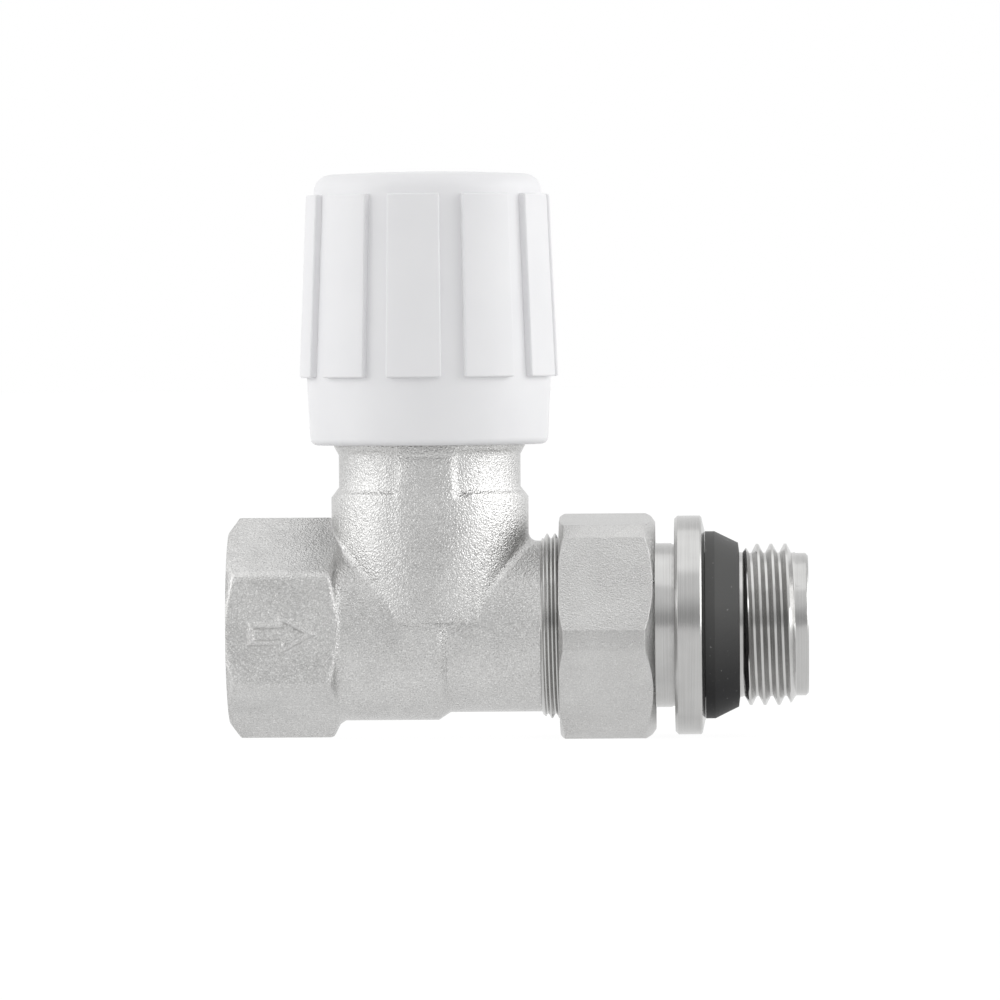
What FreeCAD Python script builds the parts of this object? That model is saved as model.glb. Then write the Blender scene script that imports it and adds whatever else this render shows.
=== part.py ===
"""Straight manual radiator valve with a union nut and a self-sealing tailpiece.

Frame: origin at the centre of the inlet face, +X along the flow, +Z up along the stem.
All sizes are millimetres. The valve is drawn closed, with the handwheel at its lowest.
"""
import FreeCAD
import Part

import math
import os
import re

import Sketcher
from FreeCAD import Placement, Rotation, Vector

# Driving sizes: each can be changed by itself.
SIZES = {
    # inlet end of the body
    "pipe_thread_radius": 10.4775,
    "pipe_thread_root_radius": 9.3155,
    "inlet_thread_length": 10.5,
    "inlet_mouth_chamfer": 0.9,
    "inlet_wall": 2.0225,
    "inlet_hex_overrun": 2.0,
    "inlet_hex_slope": 1.25,
    "inlet_hex_step": 0.4,
    "inlet_hex_foot": 0.35,
    "inlet_hex_foot_rise": 0.05,
    "inlet_hex_chamfer": 1.4,
    "inlet_hex_chamfer_fall": 1.85,
    "inlet_hex_edge_fillet": 0.9,
    "inlet_hex_upper_fillet": 1.8,
    "inlet_hex_back_fillet": 0.8,
    "inlet_bore_radius": 8.4,
    "inlet_bore_overrun": 3.2,
    # tube of the body and its union thread
    "union_thread_radius": 12.0,
    "union_thread_setback": 2.4,
    "union_thread_length": 8.1,
    "union_thread_rise": 0.8,
    "union_thread_chamfer": 0.8,
    "slim_tube_fall": 0.9,
    "tube_step_offset": 1.0,
    "tube_step_run": 1.5,
    # neck of the body
    "stem_setback": 11.45,
    "neck_wall": 1.8,
    "belly_wall": 0.7,
    "belly_swell": 1.0,
    "belly_foot": 0.9,
    "belly_rise": 4.8,
    "neck_shoulder_rise": 1.3,
    "neck_length": 9.1,
    "neck_mouth_wall": 1.2,
    "neck_flare_setback": 3.6,
    "neck_flare_run": 1.1,
    "neck_mouth_chamfer": 0.4,
    "pad_angle": 34.0,
    "pad_root": 0.5,
    "forged_fillet": 1.1,
    # flow passages of the body
    "web_thickness": 4.0,
    "passage_wall": 1.6,
    "passage_overrun": 2.4,
    "passage_overlap": 0.5,
    "socket_wall": 2.8,
    "socket_step": 1.6,
    "socket_depth": 6.3,
    "outlet_wall": 2.0,
    "seat_radius": 6.0,
    "seat_lip_width": 1.2,
    "seat_lip_height": 1.0,
    "chamber_gap": 0.6,
    "chamber_shoulder": 0.8,
    # bonnet
    "bonnet_engagement": 8.7,
    "bonnet_undercut": 0.5,
    "bonnet_hex_height": 5.0,
    "bonnet_hex_ledge": 0.6,
    "bonnet_collar_fall": 1.0,
    "bonnet_height": 15.0,
    "bonnet_seal_section": 1.6,
    "stem_guide_height": 4.0,
    "gland_wall": 0.9,
    "gland_thread_height": 4.7,
    # stem and its seals
    "stem_radius": 4.0,
    "stem_thread_rise": 1.0,
    "stem_thread_gap": 0.7,
    "stem_thread_play": 0.5625,
    "stem_groove_depth": 0.8,
    "stem_tip_height": 0.95,
    "stem_square_cut": 1.0,
    "stem_square_length": 6.9,
    "stem_seal_section": 2.0,
    "stem_seal_play": 0.02,
    "seal_spacer_height": 1.0,
    "gland_washer_height": 1.1,
    "gland_nut_height": 2.8,
    "gland_nut_travel": 0.6,
    # disc
    "disc_travel": 3.4375,
    "disc_overhang": 0.7,
    "disc_thickness": 2.5,
    "carrier_rim": 0.7,
    "carrier_flange_height": 1.8,
    "carrier_rim_height": 1.4,
    "carrier_floor_height": 1.17,
    "carrier_top_gap": 0.3625,
    "carrier_hub_wall": 0.65,
    "carrier_stud_radius": 2.5,
    "carrier_stud_end": 0.8,
    "disc_nut_flats": 8.0,
    "disc_nut_height": 2.8,
    "clip_reach": 0.85,
    "clip_play": 0.1,
    "clip_thickness": 1.1,
    "clip_gap_angle": 50.0,
    # handwheel
    "wheel_neck_gap": 1.1,
    "wheel_wall": 1.9,
    "skirt_overlap": 2.3,
    "skirt_height": 8.75,
    "skirt_flare": 0.45,
    "skirt_edge_fillet": 0.9,
    "grip_fall": 1.15,
    "crown_depth": 2.9,
    "crown_fall": 0.35,
    "crown_fillet": 2.2,
    "crown_wall": 2.6,
    "rib_count": 10,
    "rib_angle": 25.0,
    "rib_foot_rise": 0.95,
    "rib_top_rise": 1.1,
    "rib_root": 0.8,
    "rib_phase": 11.6,
    "wheel_boss_gap": 1.1,
    "wheel_boss_overlap": 0.5,
    "wheel_boss_wall": 1.1,
    "wheel_web_count": 5,
    "wheel_web_thickness": 1.4,
    "wheel_web_rise": 1.0,
    "web_overlap": 0.5,
    "screw_floor_height": 1.6,
    "screw_pocket_gap": 0.3,
    "cap_ledge": 2.3,
    "cap_thickness": 1.6,
    "cap_gap": 0.15,
    "cap_collar_wall": 1.8,
    "cap_collar_depth": 5.8,
    "cap_plug_depth": 0.8,
    "cap_plug_wall": 1.0,
    # handwheel screw
    "screw_radius": 2.0,
    "screw_length": 10.0,
    "screw_hole_gap": 0.2,
    "screw_hole_overrun": 1.0,
    "screw_head_radius": 3.8,
    "screw_head_height": 2.3,
    "screw_head_crown": 1.14,
    "screw_socket_flats": 2.5,
    "screw_socket_depth": 1.3,
    "screw_washer_radius": 4.4,
    "screw_washer_thickness": 0.6,
    # union nut
    "nut_overlap": 6.5,
    "nut_wall": 1.9,
    "nut_corner_turning": 0.7,
    "nut_front_chamfer": 0.6,
    "nut_front_fall": 1.2,
    "nut_back_chamfer": 1.3,
    "nut_back_fall": 1.9,
    "nut_shoulder": 2.85,
    "nut_clocking": 5.5,
    # tailpiece and its seals
    "collar_gap": 0.6,
    "collar_length": 2.9,
    "collar_step": 0.75,
    "tail_tube_show": 2.3,
    "tail_wall": 1.0,
    "spigot_end_gap": 0.4,
    "spigot_seal_section": 1.55,
    "spigot_seal_setback": 3.5,
    "ring_seat_step": 0.15,
    "ring_thickness": 3.9,
    "ring_chamfer": 0.4,
    "ring_edge": 0.2,
    "ring_face_rise": 0.4,
    "ring_face_inset": 1.9,
    "seal_seat_fall": 1.0775,
    "seal_wall": 2.75,
    "seal_inset": 0.15,
    "seal_band": 1.25,
    "seal_nose_fall": 1.5,
    "seal_nose_length": 3.05,
    "seal_face_rise": 0.15,
    "seal_to_thread": 0.45,
    "male_thread_length": 7.0,
    "male_thread_chamfer": 0.7,
    "pilot_radius": 9.25,
    "pilot_length": 1.6,
    "pilot_chamfer": 0.35,
    "key_lip": 0.6,
    "key_depth": 9.0,
    # clearances, edge breaks and cutter allowances
    "thread_clearance": 0.05,
    "running_clearance": 0.08,
    "assembly_clearance": 0.05,
    "seat_gap": 0.05,
    "edge_break": 0.3,
    "thread_lead": 0.6,
    "hex_chamfer_height": 0.8,
    "hex_chamfer_fall": 1.2,
    "cutter_reach": 2.0,
}

# Sizes that follow from the driving ones.
DERIVED = {
    "inlet_hex_flats": "2 * (pipe_thread_radius + inlet_wall)",
    "inlet_hex_length": "inlet_mouth_chamfer + inlet_thread_length + inlet_hex_overrun",
    "inlet_hex_end": "inlet_hex_length + inlet_hex_slope",
    "inlet_hex_crest": "inlet_hex_flats / 2 / cos(30) - (1 / cos(30) - 1) * inlet_hex_edge_fillet",
    "inlet_bore_depth": "inlet_mouth_chamfer + inlet_thread_length + inlet_bore_overrun",
    "tube_radius": "inlet_hex_flats / 2 - inlet_hex_step",
    "slim_tube_radius": "union_thread_radius - slim_tube_fall",
    "stem_station": "inlet_hex_end + stem_setback",
    "tube_step_station": "stem_station + tube_step_offset",
    "belly_radius": "tube_radius + belly_wall",
    "neck_radius": "belly_radius - belly_swell",
    "bonnet_thread_radius": "neck_radius - neck_wall",
    "belly_top": "tube_radius + belly_rise",
    "neck_top": "belly_top + neck_length",
    "neck_flare_height": "neck_top - neck_flare_setback",
    "union_thread_station": "stem_station + belly_radius + union_thread_setback",
    "body_length": "union_thread_station + union_thread_length",
    "web_top": "web_thickness / 2",
    "passage_radius": "slim_tube_radius - passage_wall",
    "socket_radius": "union_thread_radius - socket_wall",
    "outlet_bore_radius": "socket_radius - socket_step",
    "seat_height": "web_top + seat_lip_height",
    "seat_lip_radius": "seat_radius + seat_lip_width",
    "disc_radius": "seat_lip_radius + disc_overhang",
    "carrier_radius": "disc_radius + carrier_rim",
    "chamber_radius": "carrier_radius + chamber_gap",
    "inlet_passage_reach": "seat_radius + passage_overrun",
    "outlet_bore_station": "stem_station + chamber_radius + outlet_wall",
    "bonnet_foot": "neck_top - bonnet_engagement",
    "bonnet_undercut_radius": "bonnet_thread_radius - bonnet_undercut",
    "neck_seal_floor": "neck_top - bonnet_seal_section - 2 * assembly_clearance",
    "neck_seal_radius": "bonnet_undercut_radius + bonnet_seal_section + 2 * assembly_clearance",
    "neck_flare_radius": "neck_seal_radius + neck_mouth_wall",
    "neck_thread_foot": "bonnet_foot - passage_overlap",
    "bonnet_hex_flats": "2 * (bonnet_thread_radius + bonnet_undercut)",
    "bonnet_hex_corner_radius": "neck_seal_radius + bonnet_hex_ledge",
    "bonnet_hex_top": "neck_top + bonnet_hex_height",
    "bonnet_collar_radius": "bonnet_thread_radius - bonnet_collar_fall",
    "bonnet_top": "neck_top + bonnet_height",
    "stem_bore_radius": "stem_radius + running_clearance",
    "stem_thread_radius": "stem_radius + stem_thread_rise",
    "stem_groove_radius": "stem_radius - stem_groove_depth",
    "stem_square_flats": "2 * (stem_radius - stem_square_cut)",
    "gland_radius": "stem_bore_radius + stem_seal_section + stem_seal_play",
    "gland_thread_radius": "gland_radius + gland_wall",
    "gland_thread_foot": "bonnet_top - gland_thread_height",
    "gland_washer_foot": "gland_thread_foot - gland_washer_height",
    "upper_seal_foot": "gland_washer_foot - stem_seal_section - assembly_clearance",
    "spacer_foot": "upper_seal_foot - seal_spacer_height - assembly_clearance",
    "lower_seal_foot": "spacer_foot - stem_seal_section - assembly_clearance",
    "gland_floor": "lower_seal_foot - assembly_clearance",
    "stem_guide_foot": "gland_floor - stem_guide_height",
    "gland_nut_flats": "2 * (gland_thread_radius - edge_break) - 2 * running_clearance",
    "gland_nut_corner_radius": "gland_thread_radius + edge_break",
    "gland_nut_foot": "bonnet_top + gland_nut_travel",
    "gland_nut_top": "gland_nut_foot + gland_nut_height",
    "disc_foot": "seat_height + seat_gap",
    "disc_top": "disc_foot + disc_thickness",
    "carrier_flange_top": "disc_top + carrier_flange_height",
    "carrier_floor": "carrier_flange_top + carrier_floor_height",
    "carrier_top": "bonnet_foot - disc_travel - carrier_top_gap",
    "stem_foot": "carrier_floor + running_clearance",
    "stem_thread_foot": "carrier_top + stem_thread_gap",
    "stem_thread_top": "stem_guide_foot - disc_travel - stem_thread_play",
    "clip_radius": "stem_radius + clip_reach",
    "clip_groove_radius": "clip_radius + clip_play",
    "carrier_hub_radius": "clip_groove_radius + carrier_hub_wall",
    "clip_groove_foot": "stem_foot + stem_tip_height",
    "clip_foot": "clip_groove_foot + running_clearance",
    "clip_groove_top": "clip_foot + clip_thickness + running_clearance",
    "disc_nut_foot": "disc_foot - disc_nut_height - assembly_clearance",
    "carrier_stud_foot": "disc_nut_foot - carrier_stud_end",
    "wheel_boss_foot": "gland_nut_top + wheel_boss_gap",
    "stem_square_foot": "wheel_boss_foot - wheel_boss_overlap",
    "stem_top": "stem_square_foot + stem_square_length",
    "screw_floor": "stem_top + assembly_clearance",
    "washer_foot": "screw_floor + screw_floor_height",
    "screw_head_foot": "washer_foot + screw_washer_thickness",
    "screw_head_top": "screw_head_foot + screw_head_height",
    "screw_foot": "screw_head_foot - screw_length",
    "screw_pocket_radius": "screw_washer_radius + screw_pocket_gap",
    "wheel_boss_radius": "screw_pocket_radius + wheel_boss_wall",
    "cap_radius": "screw_pocket_radius + cap_ledge",
    "cap_collar_radius": "cap_radius + cap_collar_wall",
    "crown_height": "screw_head_top + cap_gap + cap_plug_depth + cap_thickness",
    "crown_edge_height": "crown_height - crown_fall",
    "grip_top": "crown_height - crown_depth",
    "wheel_ceiling": "crown_height - crown_wall",
    "cap_collar_foot": "crown_height - cap_collar_depth",
    "cap_foot": "crown_height - cap_thickness",
    "cap_pocket_foot": "cap_foot - assembly_clearance",
    "wheel_web_foot": "wheel_boss_foot + wheel_web_rise",
    "skirt_foot": "neck_top - skirt_overlap",
    "skirt_top": "skirt_foot + skirt_height",
    "wheel_bore_radius": "neck_flare_radius + wheel_neck_gap",
    "skirt_foot_radius": "wheel_bore_radius + wheel_wall",
    "skirt_top_radius": "skirt_foot_radius + skirt_flare",
    "grip_top_radius": "skirt_top_radius - grip_fall",
    "wheel_ceiling_radius": "grip_top_radius - wheel_wall",
    "rib_foot_radius": "skirt_top_radius + rib_foot_rise",
    "rib_top_radius": "grip_top_radius + rib_top_rise",
    "collar_radius": "union_thread_radius - collar_gap",
    "collar_station": "body_length + 2 * assembly_clearance",
    "collar_end": "collar_station + collar_length",
    "nut_station": "body_length - nut_overlap",
    "nut_shoulder_station": "collar_end + assembly_clearance",
    "nut_end": "nut_shoulder_station + nut_shoulder",
    "nut_length": "nut_end - nut_station",
    "nut_flats": "2 * (union_thread_radius + nut_wall)",
    "nut_corner_radius": "nut_flats / 2 / cos(30) - nut_corner_turning",
    "tail_tube_radius": "collar_radius - collar_step",
    "tail_tube_end": "nut_end + tail_tube_show",
    "spigot_radius": "socket_radius - 2 * assembly_clearance",
    "spigot_station": "body_length - socket_depth + spigot_end_gap",
    "spigot_seal_radius": "socket_radius - spigot_seal_section - assembly_clearance",
    "spigot_groove_station": "collar_station - spigot_seal_setback",
    "spigot_groove_width": "spigot_seal_section + 4 * assembly_clearance",
    "tail_bore_radius": "spigot_seal_radius - tail_wall",
    "key_flats": "2 * (tail_bore_radius - key_lip)",
    "ring_seat_radius": "tail_tube_radius - ring_seat_step",
    "ring_station": "tail_tube_end + ring_chamfer / 2",
    "ring_end": "ring_station + ring_thickness",
    "seal_seat_radius": "pipe_thread_radius - seal_seat_fall",
    "seal_radius": "seal_seat_radius + seal_wall",
    "ring_face_radius": "seal_radius + seal_inset",
    "ring_radius": "ring_face_radius + ring_face_inset",
    "seal_nose_radius": "seal_radius - seal_nose_fall",
    "seal_station": "ring_end + assembly_clearance",
    "seal_band_end": "seal_station + seal_band",
    "seal_nose_end": "seal_band_end + seal_nose_length",
    "male_thread_station": "seal_nose_end + seal_to_thread",
    "male_thread_end": "male_thread_station + male_thread_length",
    "overall_length": "male_thread_end + pilot_length",
}

doc = FreeCAD.newDocument("RadiatorValve")


def fill_sheet():
    """The spreadsheet that drives the model: one named cell for each size."""
    sheet = doc.addObject("Spreadsheet::Sheet", "Sizes")
    rows = list(SIZES.items()) + [(name, "=" + formula) for name, formula in DERIVED.items()]
    for row, (name, content) in enumerate(rows, start=1):
        sheet.set(f"A{row}", name)
        sheet.set(f"B{row}", str(content))
        sheet.setAlias(f"B{row}", name)
    doc.recompute()
    return sheet


sheet = fill_sheet()


def on_sheet(formula):
    """A formula written with size names, pointed at the sheet's cells."""
    def cell(word):
        name = word.group(0)
        return f"Sizes.{name}" if name in SIZES or name in DERIVED else name
    return re.sub(r"[a-z_]+", cell, str(formula))


def number(formula):
    """What a formula comes to with the sheet's present sizes."""
    return float(sheet.evalExpression(on_sheet(formula)))


def bind(target, path, formula):
    """Ties a property of an object to a formula on the sheet."""
    target.setExpression(path, on_sheet(formula))


def new_body(label):
    """An empty part-design body with the sub-part's own label."""
    body = doc.addObject("PartDesign::Body", label)
    body.Label = label
    return body


def on_stem_line(piece, turn="0"):
    """Stands a piece that was drawn about its own Z axis on the stem's line, turned by an angle."""
    piece.Placement = Placement(Vector(), Rotation(Vector(0, 0, 1), number(turn)))
    bind(piece, "Placement.Base.x", "stem_station")
    return piece


def on_pipe_line(piece):
    """Lays a piece that was drawn about its own Z axis along the flow."""
    piece.Placement = Placement(Vector(), Rotation(Vector(0, 1, 0), 90))
    return piece


def new_sketch(body, name, role, offset=None):
    """A sketch on one of the body's own origin planes, moved by a formula for each given axis."""
    sketch = body.newObject("Sketcher::SketchObject", name)
    plane = next(item for item in body.Origin.OriginFeatures if item.Role == role)
    sketch.AttachmentSupport = [(plane, "")]
    sketch.MapMode = "FlatFace"
    for axis, formula in (offset or {}).items():
        bind(sketch, f"AttachmentOffset.Base.{axis}", formula)
    return sketch


def draw_outline(sketch, corners):
    """A closed outline of straight lines, whose corners are pairs of formulas."""
    first = sketch.GeometryCount
    spots = [(number(u), number(v)) for u, v in corners]
    following = spots[1:] + spots[:1]
    sketch.addGeometry([
        Part.LineSegment(Vector(*start, 0), Vector(*end, 0)) for start, end in zip(spots, following)
    ])
    count = len(corners)
    for index in range(count):
        after = first + (index + 1) % count
        sketch.addConstraint(Sketcher.Constraint("Coincident", first + index, 2, after, 1))
    for index, (corner, spot) in enumerate(zip(corners, spots)):
        for kind, formula, value in zip(("DistanceX", "DistanceY"), corner, spot):
            constraint = sketch.addConstraint(
                Sketcher.Constraint(kind, -1, 1, first + index, 1, value))
            bind(sketch, f"Constraints[{constraint}]", formula)
    return sketch


def draw_circle(sketch, radius):
    """A circle about the sketch's origin."""
    index = sketch.addGeometry(Part.Circle(Vector(), Vector(0, 0, 1), number(radius)))
    sketch.addConstraint(Sketcher.Constraint("Coincident", index, 3, -1, 1))
    constraint = sketch.addConstraint(Sketcher.Constraint("Radius", index, number(radius)))
    bind(sketch, f"Constraints[{constraint}]", radius)
    return sketch


def hexagon(flats, turn="0"):
    """The six corners of a hexagon, from its size across flats and the angle of one corner."""
    reach = f"{flats} / 2 / cos(30)"
    return [
        (f"{reach} * cos({turn} + {60 * side})", f"{reach} * sin({turn} + {60 * side})")
        for side in range(6)
    ]


def rectangle(left, bottom, right, top):
    """The four corners of an upright rectangle."""
    return [(left, bottom), (right, bottom), (right, top), (left, top)]


def revolve(body, name, corners, kind="PartDesign::Revolution", role="XZ_Plane",
            axis="V_Axis", offset=None, angle="360", midplane=False):
    """A turned form, added to or cut from the body, from its half section."""
    sketch = draw_outline(new_sketch(body, name + "Section", role, offset), corners)
    feature = body.newObject(kind, name)
    feature.Profile = sketch
    feature.ReferenceAxis = (sketch, [axis])
    feature.Midplane = midplane
    bind(feature, "Angle", angle)
    return feature


def groove(body, name, corners, **options):
    """A turned cut, from its half section."""
    return revolve(body, name, corners, kind="PartDesign::Groove", **options)


def extrude(body, name, sketch, length, kind="PartDesign::Pad", backwards=False):
    """A straight form with the sketch's outline, added to or cut from the body."""
    feature = body.newObject(kind, name)
    feature.Profile = sketch
    bind(feature, "Length", length)
    feature.Reversed = backwards
    return feature


def cut_hexagon(body, name, flats, corner_radius, foot, height, turn="0"):
    """Mills a turned blank down to a hexagon between two heights of its own axis."""
    sketch = new_sketch(body, name + "Outline", "XY_Plane", {"z": foot})
    draw_circle(sketch, f"{corner_radius} + cutter_reach")
    draw_outline(sketch, hexagon(flats, turn))
    return extrude(body, name, sketch, height, kind="PartDesign::Pocket", backwards=True)


def edges_between(shape, is_first, is_second):
    """The names of the edges where a face of one sort meets a face of another."""
    names = []
    for index, edge in enumerate(shape.Edges, start=1):
        faces = shape.ancestorsOfType(edge, Part.Face)
        if len(faces) != 2:
            continue
        one, other = faces
        if (is_first(one) and is_second(other)) or (is_first(other) and is_second(one)):
            names.append(f"Edge{index}")
    return names


def is_cylinder(radius, direction):
    """A test for a cylindrical face of one radius along one direction."""
    def test(face):
        surface = face.Surface
        return (isinstance(surface, Part.Cylinder)
                and abs(surface.Radius - number(radius)) < 1e-4
                and abs(abs(surface.Axis.dot(direction)) - 1) < 1e-6)
    return test


def dress(body, name, kind, base, edges, size_name, formula):
    """A fillet or a chamfer on the named edges of a feature."""
    feature = body.newObject(kind, name)
    feature.Base = (base, edges)
    bind(feature, size_name, formula)
    return feature


def o_ring(label, inner_radius, section, station, along_flow=False):
    """A round-section seal whose near side is at a station on the stem's or the pipe's line."""
    ring = doc.addObject("Part::Torus", label)
    ring.Label = label
    bind(ring, "Radius1", f"{inner_radius} + {section} / 2")
    bind(ring, "Radius2", f"{section} / 2")
    if along_flow:
        on_pipe_line(ring)
        bind(ring, "Placement.Base.x", f"{station} + {section} / 2")
    else:
        on_stem_line(ring)
        bind(ring, "Placement.Base.z", f"{station} + {section} / 2")
    return ring


def make_valve_body():
    """The forged body: inlet hexagon, tube, union thread and neck, then its machined passages."""
    body = new_body("valve_body")
    revolve(body, "Tube", [
        ("0", "0"),
        ("0", "tube_radius"),
        ("tube_step_station", "tube_radius"),
        ("tube_step_station + tube_step_run", "slim_tube_radius"),
        ("union_thread_station - union_thread_rise", "slim_tube_radius"),
        ("union_thread_station", "union_thread_radius"),
        ("body_length - union_thread_chamfer", "union_thread_radius"),
        ("body_length", "union_thread_radius - union_thread_chamfer"),
        ("body_length", "0"),
    ], axis="H_Axis")
    neck = revolve(body, "Neck", [
        ("0", "belly_foot"),
        ("belly_radius", "belly_foot"),
        ("belly_radius", "belly_top"),
        ("neck_radius", "belly_top + neck_shoulder_rise"),
        ("neck_radius", "neck_flare_height"),
        ("neck_flare_radius", "neck_flare_height + neck_flare_run"),
        ("neck_flare_radius", "neck_top - neck_mouth_chamfer"),
        ("neck_flare_radius - neck_mouth_chamfer", "neck_top"),
        ("0", "neck_top"),
    ], offset={"x": "stem_station"})
    doc.recompute()

    # the forging's soft corner where the neck meets the tube
    along, upright = Vector(1, 0, 0), Vector(0, 0, 1)
    is_belly = is_cylinder("belly_radius", upright)
    is_tube = is_cylinder("tube_radius", along)
    is_slim_tube = is_cylinder("slim_tube_radius", along)

    def is_pipe(face):
        surface = face.Surface
        is_step = isinstance(surface, Part.Cone) and surface.Axis.cross(along).Length < 1e-6
        return is_tube(face) or is_slim_tube(face) or is_step

    corner = edges_between(neck.Shape, is_belly, is_pipe)
    dress(body, "ForgedCorner", "PartDesign::Fillet", neck, corner, "Radius", "forged_fillet")

    hexagon_end = body.newObject("PartDesign::Boolean", "InletEnd")
    hexagon_end.setObjects([make_inlet_hexagon()])
    hexagon_end.Type = "Fuse"

    revolve(body, "Pad", rectangle("-belly_radius", "belly_top", "pad_root - neck_radius", "neck_flare_height"),
            role="YZ_Plane", offset={"z": "stem_station"}, angle="pad_angle", midplane=True)

    cut_passages(body)
    return body


def make_inlet_hexagon():
    """The wrench hexagon with its rounded edges, turned back at both ends."""
    body = new_body("inlet_hexagon")
    outline = draw_outline(new_sketch(body, "InletHexOutline", "YZ_Plane"), hexagon("inlet_hex_flats", "90"))
    block = extrude(body, "InletHex", outline, "inlet_hex_end + inlet_hex_foot")
    doc.recompute()
    corner = number("inlet_hex_flats / 2 / cos(30)")

    def sharp_edges(shape, is_wanted):
        names = []
        for index, edge in enumerate(shape.Edges, start=1):
            middle = edge.CenterOfMass
            if abs(math.hypot(middle.y, middle.z) - corner) < 1e-3 and is_wanted(middle):
                names.append(f"Edge{index}")
        return names

    upper = sharp_edges(block.Shape, lambda middle: middle.z > 0 and abs(middle.y) > corner / 2)
    softened = dress(body, "UpperEdges", "PartDesign::Fillet", block, upper, "Radius", "inlet_hex_upper_fillet")
    doc.recompute()
    others = sharp_edges(softened.Shape, lambda middle: True)
    dress(body, "OtherEdges", "PartDesign::Fillet", softened, others, "Radius", "inlet_hex_edge_fillet")
    groove(body, "InletHexChamfer", [
        ("0", "inlet_hex_crest - inlet_hex_chamfer_fall"),
        ("2 * inlet_hex_chamfer", "inlet_hex_crest + inlet_hex_chamfer_fall"),
        ("0", "inlet_hex_crest + inlet_hex_chamfer_fall"),
    ], axis="H_Axis")
    far_radius = "2 * inlet_hex_crest - inlet_hex_flats / 2 - inlet_hex_foot_rise"
    back = groove(body, "InletHexBack", [
        ("inlet_hex_end + inlet_hex_foot", "tube_radius"),
        ("inlet_hex_end - inlet_hex_foot", "inlet_hex_flats / 2 + inlet_hex_foot_rise"),
        ("inlet_hex_end + inlet_hex_foot - 2 * inlet_hex_slope", far_radius),
        ("inlet_hex_end + inlet_hex_foot", far_radius),
    ], axis="H_Axis")
    doc.recompute()

    def is_turned(face):
        return isinstance(face.Surface, Part.Cone) and face.CenterOfMass.x > number("inlet_hex_end") / 2

    def is_hexagon(face):
        return not is_turned(face) and abs(face.normalAt(0, 0).x) < 1e-6

    rim = edges_between(back.Shape, is_turned, is_hexagon)
    dress(body, "BackEdges", "PartDesign::Fillet", back, rim, "Radius", "inlet_hex_back_fillet")
    return body


def passage_section(body, name, station, side):
    """A sketch across the flow: the part of a round passage above (1) or below (-1) the web."""
    sketch = new_sketch(body, name, "YZ_Plane", {"z": station})
    radius, level = number("passage_radius"), side * number("web_top")
    reach = math.sqrt(radius ** 2 - level ** 2)
    rise = math.asin(level / radius)
    circle = Part.Circle(Vector(), Vector(0, 0, 1), radius)
    if side > 0:
        arc = Part.ArcOfCircle(circle, rise, math.pi - rise)
        chord = Part.LineSegment(Vector(-reach, level, 0), Vector(reach, level, 0))
    else:
        arc = Part.ArcOfCircle(circle, math.pi - rise, 2 * math.pi + rise)
        chord = Part.LineSegment(Vector(reach, level, 0), Vector(-reach, level, 0))
    sketch.addGeometry([arc, chord])
    sketch.addConstraint([
        Sketcher.Constraint("Coincident", 0, 3, -1, 1),
        Sketcher.Constraint("Coincident", 0, 2, 1, 1),
        Sketcher.Constraint("Coincident", 1, 2, 0, 1),
        Sketcher.Constraint("Horizontal", 1),
    ])
    constraint = sketch.addConstraint(Sketcher.Constraint("Radius", 0, radius))
    bind(sketch, f"Constraints[{constraint}]", "passage_radius")
    constraint = sketch.addConstraint(Sketcher.Constraint("DistanceY", -1, 1, 1, 1, level))
    bind(sketch, f"Constraints[{constraint}]", f"{side} * web_top")
    return sketch


def cut_passages(body):
    """The machined inside: inlet thread, way under the web, seat, chamber, way out and socket."""
    groove(body, "InletBore", [
        ("0", "0"),
        ("0", "pipe_thread_root_radius + inlet_mouth_chamfer"),
        ("inlet_mouth_chamfer", "pipe_thread_root_radius"),
        ("inlet_mouth_chamfer + inlet_thread_length", "pipe_thread_root_radius"),
        ("inlet_mouth_chamfer + inlet_thread_length + thread_lead", "inlet_bore_radius"),
        ("inlet_bore_depth", "inlet_bore_radius"),
        ("inlet_bore_depth", "0"),
    ], axis="H_Axis")
    groove(body, "NeckBore", [
        ("0", "neck_top"),
        ("neck_seal_radius", "neck_top"),
        ("neck_seal_radius", "neck_seal_floor"),
        ("bonnet_thread_radius + thread_clearance", "neck_seal_floor"),
        ("bonnet_thread_radius + thread_clearance", "neck_thread_foot"),
        ("chamber_radius", "neck_thread_foot - chamber_shoulder"),
        ("chamber_radius", "web_top"),
        ("seat_lip_radius", "web_top"),
        ("seat_lip_radius - edge_break", "seat_height"),
        ("seat_radius + edge_break", "seat_height"),
        ("seat_radius", "seat_height - edge_break"),
        ("seat_radius", "-web_top - passage_overlap"),
        ("0", "-web_top - passage_overlap"),
    ], offset={"x": "stem_station"})
    start, end = "inlet_bore_depth - passage_overlap", "stem_station + inlet_passage_reach"
    extrude(body, "WayUnderWeb", passage_section(body, "WayUnderWebSection", start, -1),
            f"{end} - {start}", kind="PartDesign::Pocket", backwards=True)
    start, end = "stem_station + chamber_radius / 2", "outlet_bore_station"
    extrude(body, "WayOverWeb", passage_section(body, "WayOverWebSection", start, 1),
            f"{end} - ({start})", kind="PartDesign::Pocket", backwards=True)
    groove(body, "OutletBore", [
        ("outlet_bore_station", "0"),
        ("outlet_bore_station", "outlet_bore_radius"),
        ("body_length - socket_depth", "outlet_bore_radius"),
        ("body_length - socket_depth", "socket_radius"),
        ("body_length", "socket_radius"),
        ("body_length", "0"),
    ], axis="H_Axis")


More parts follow.
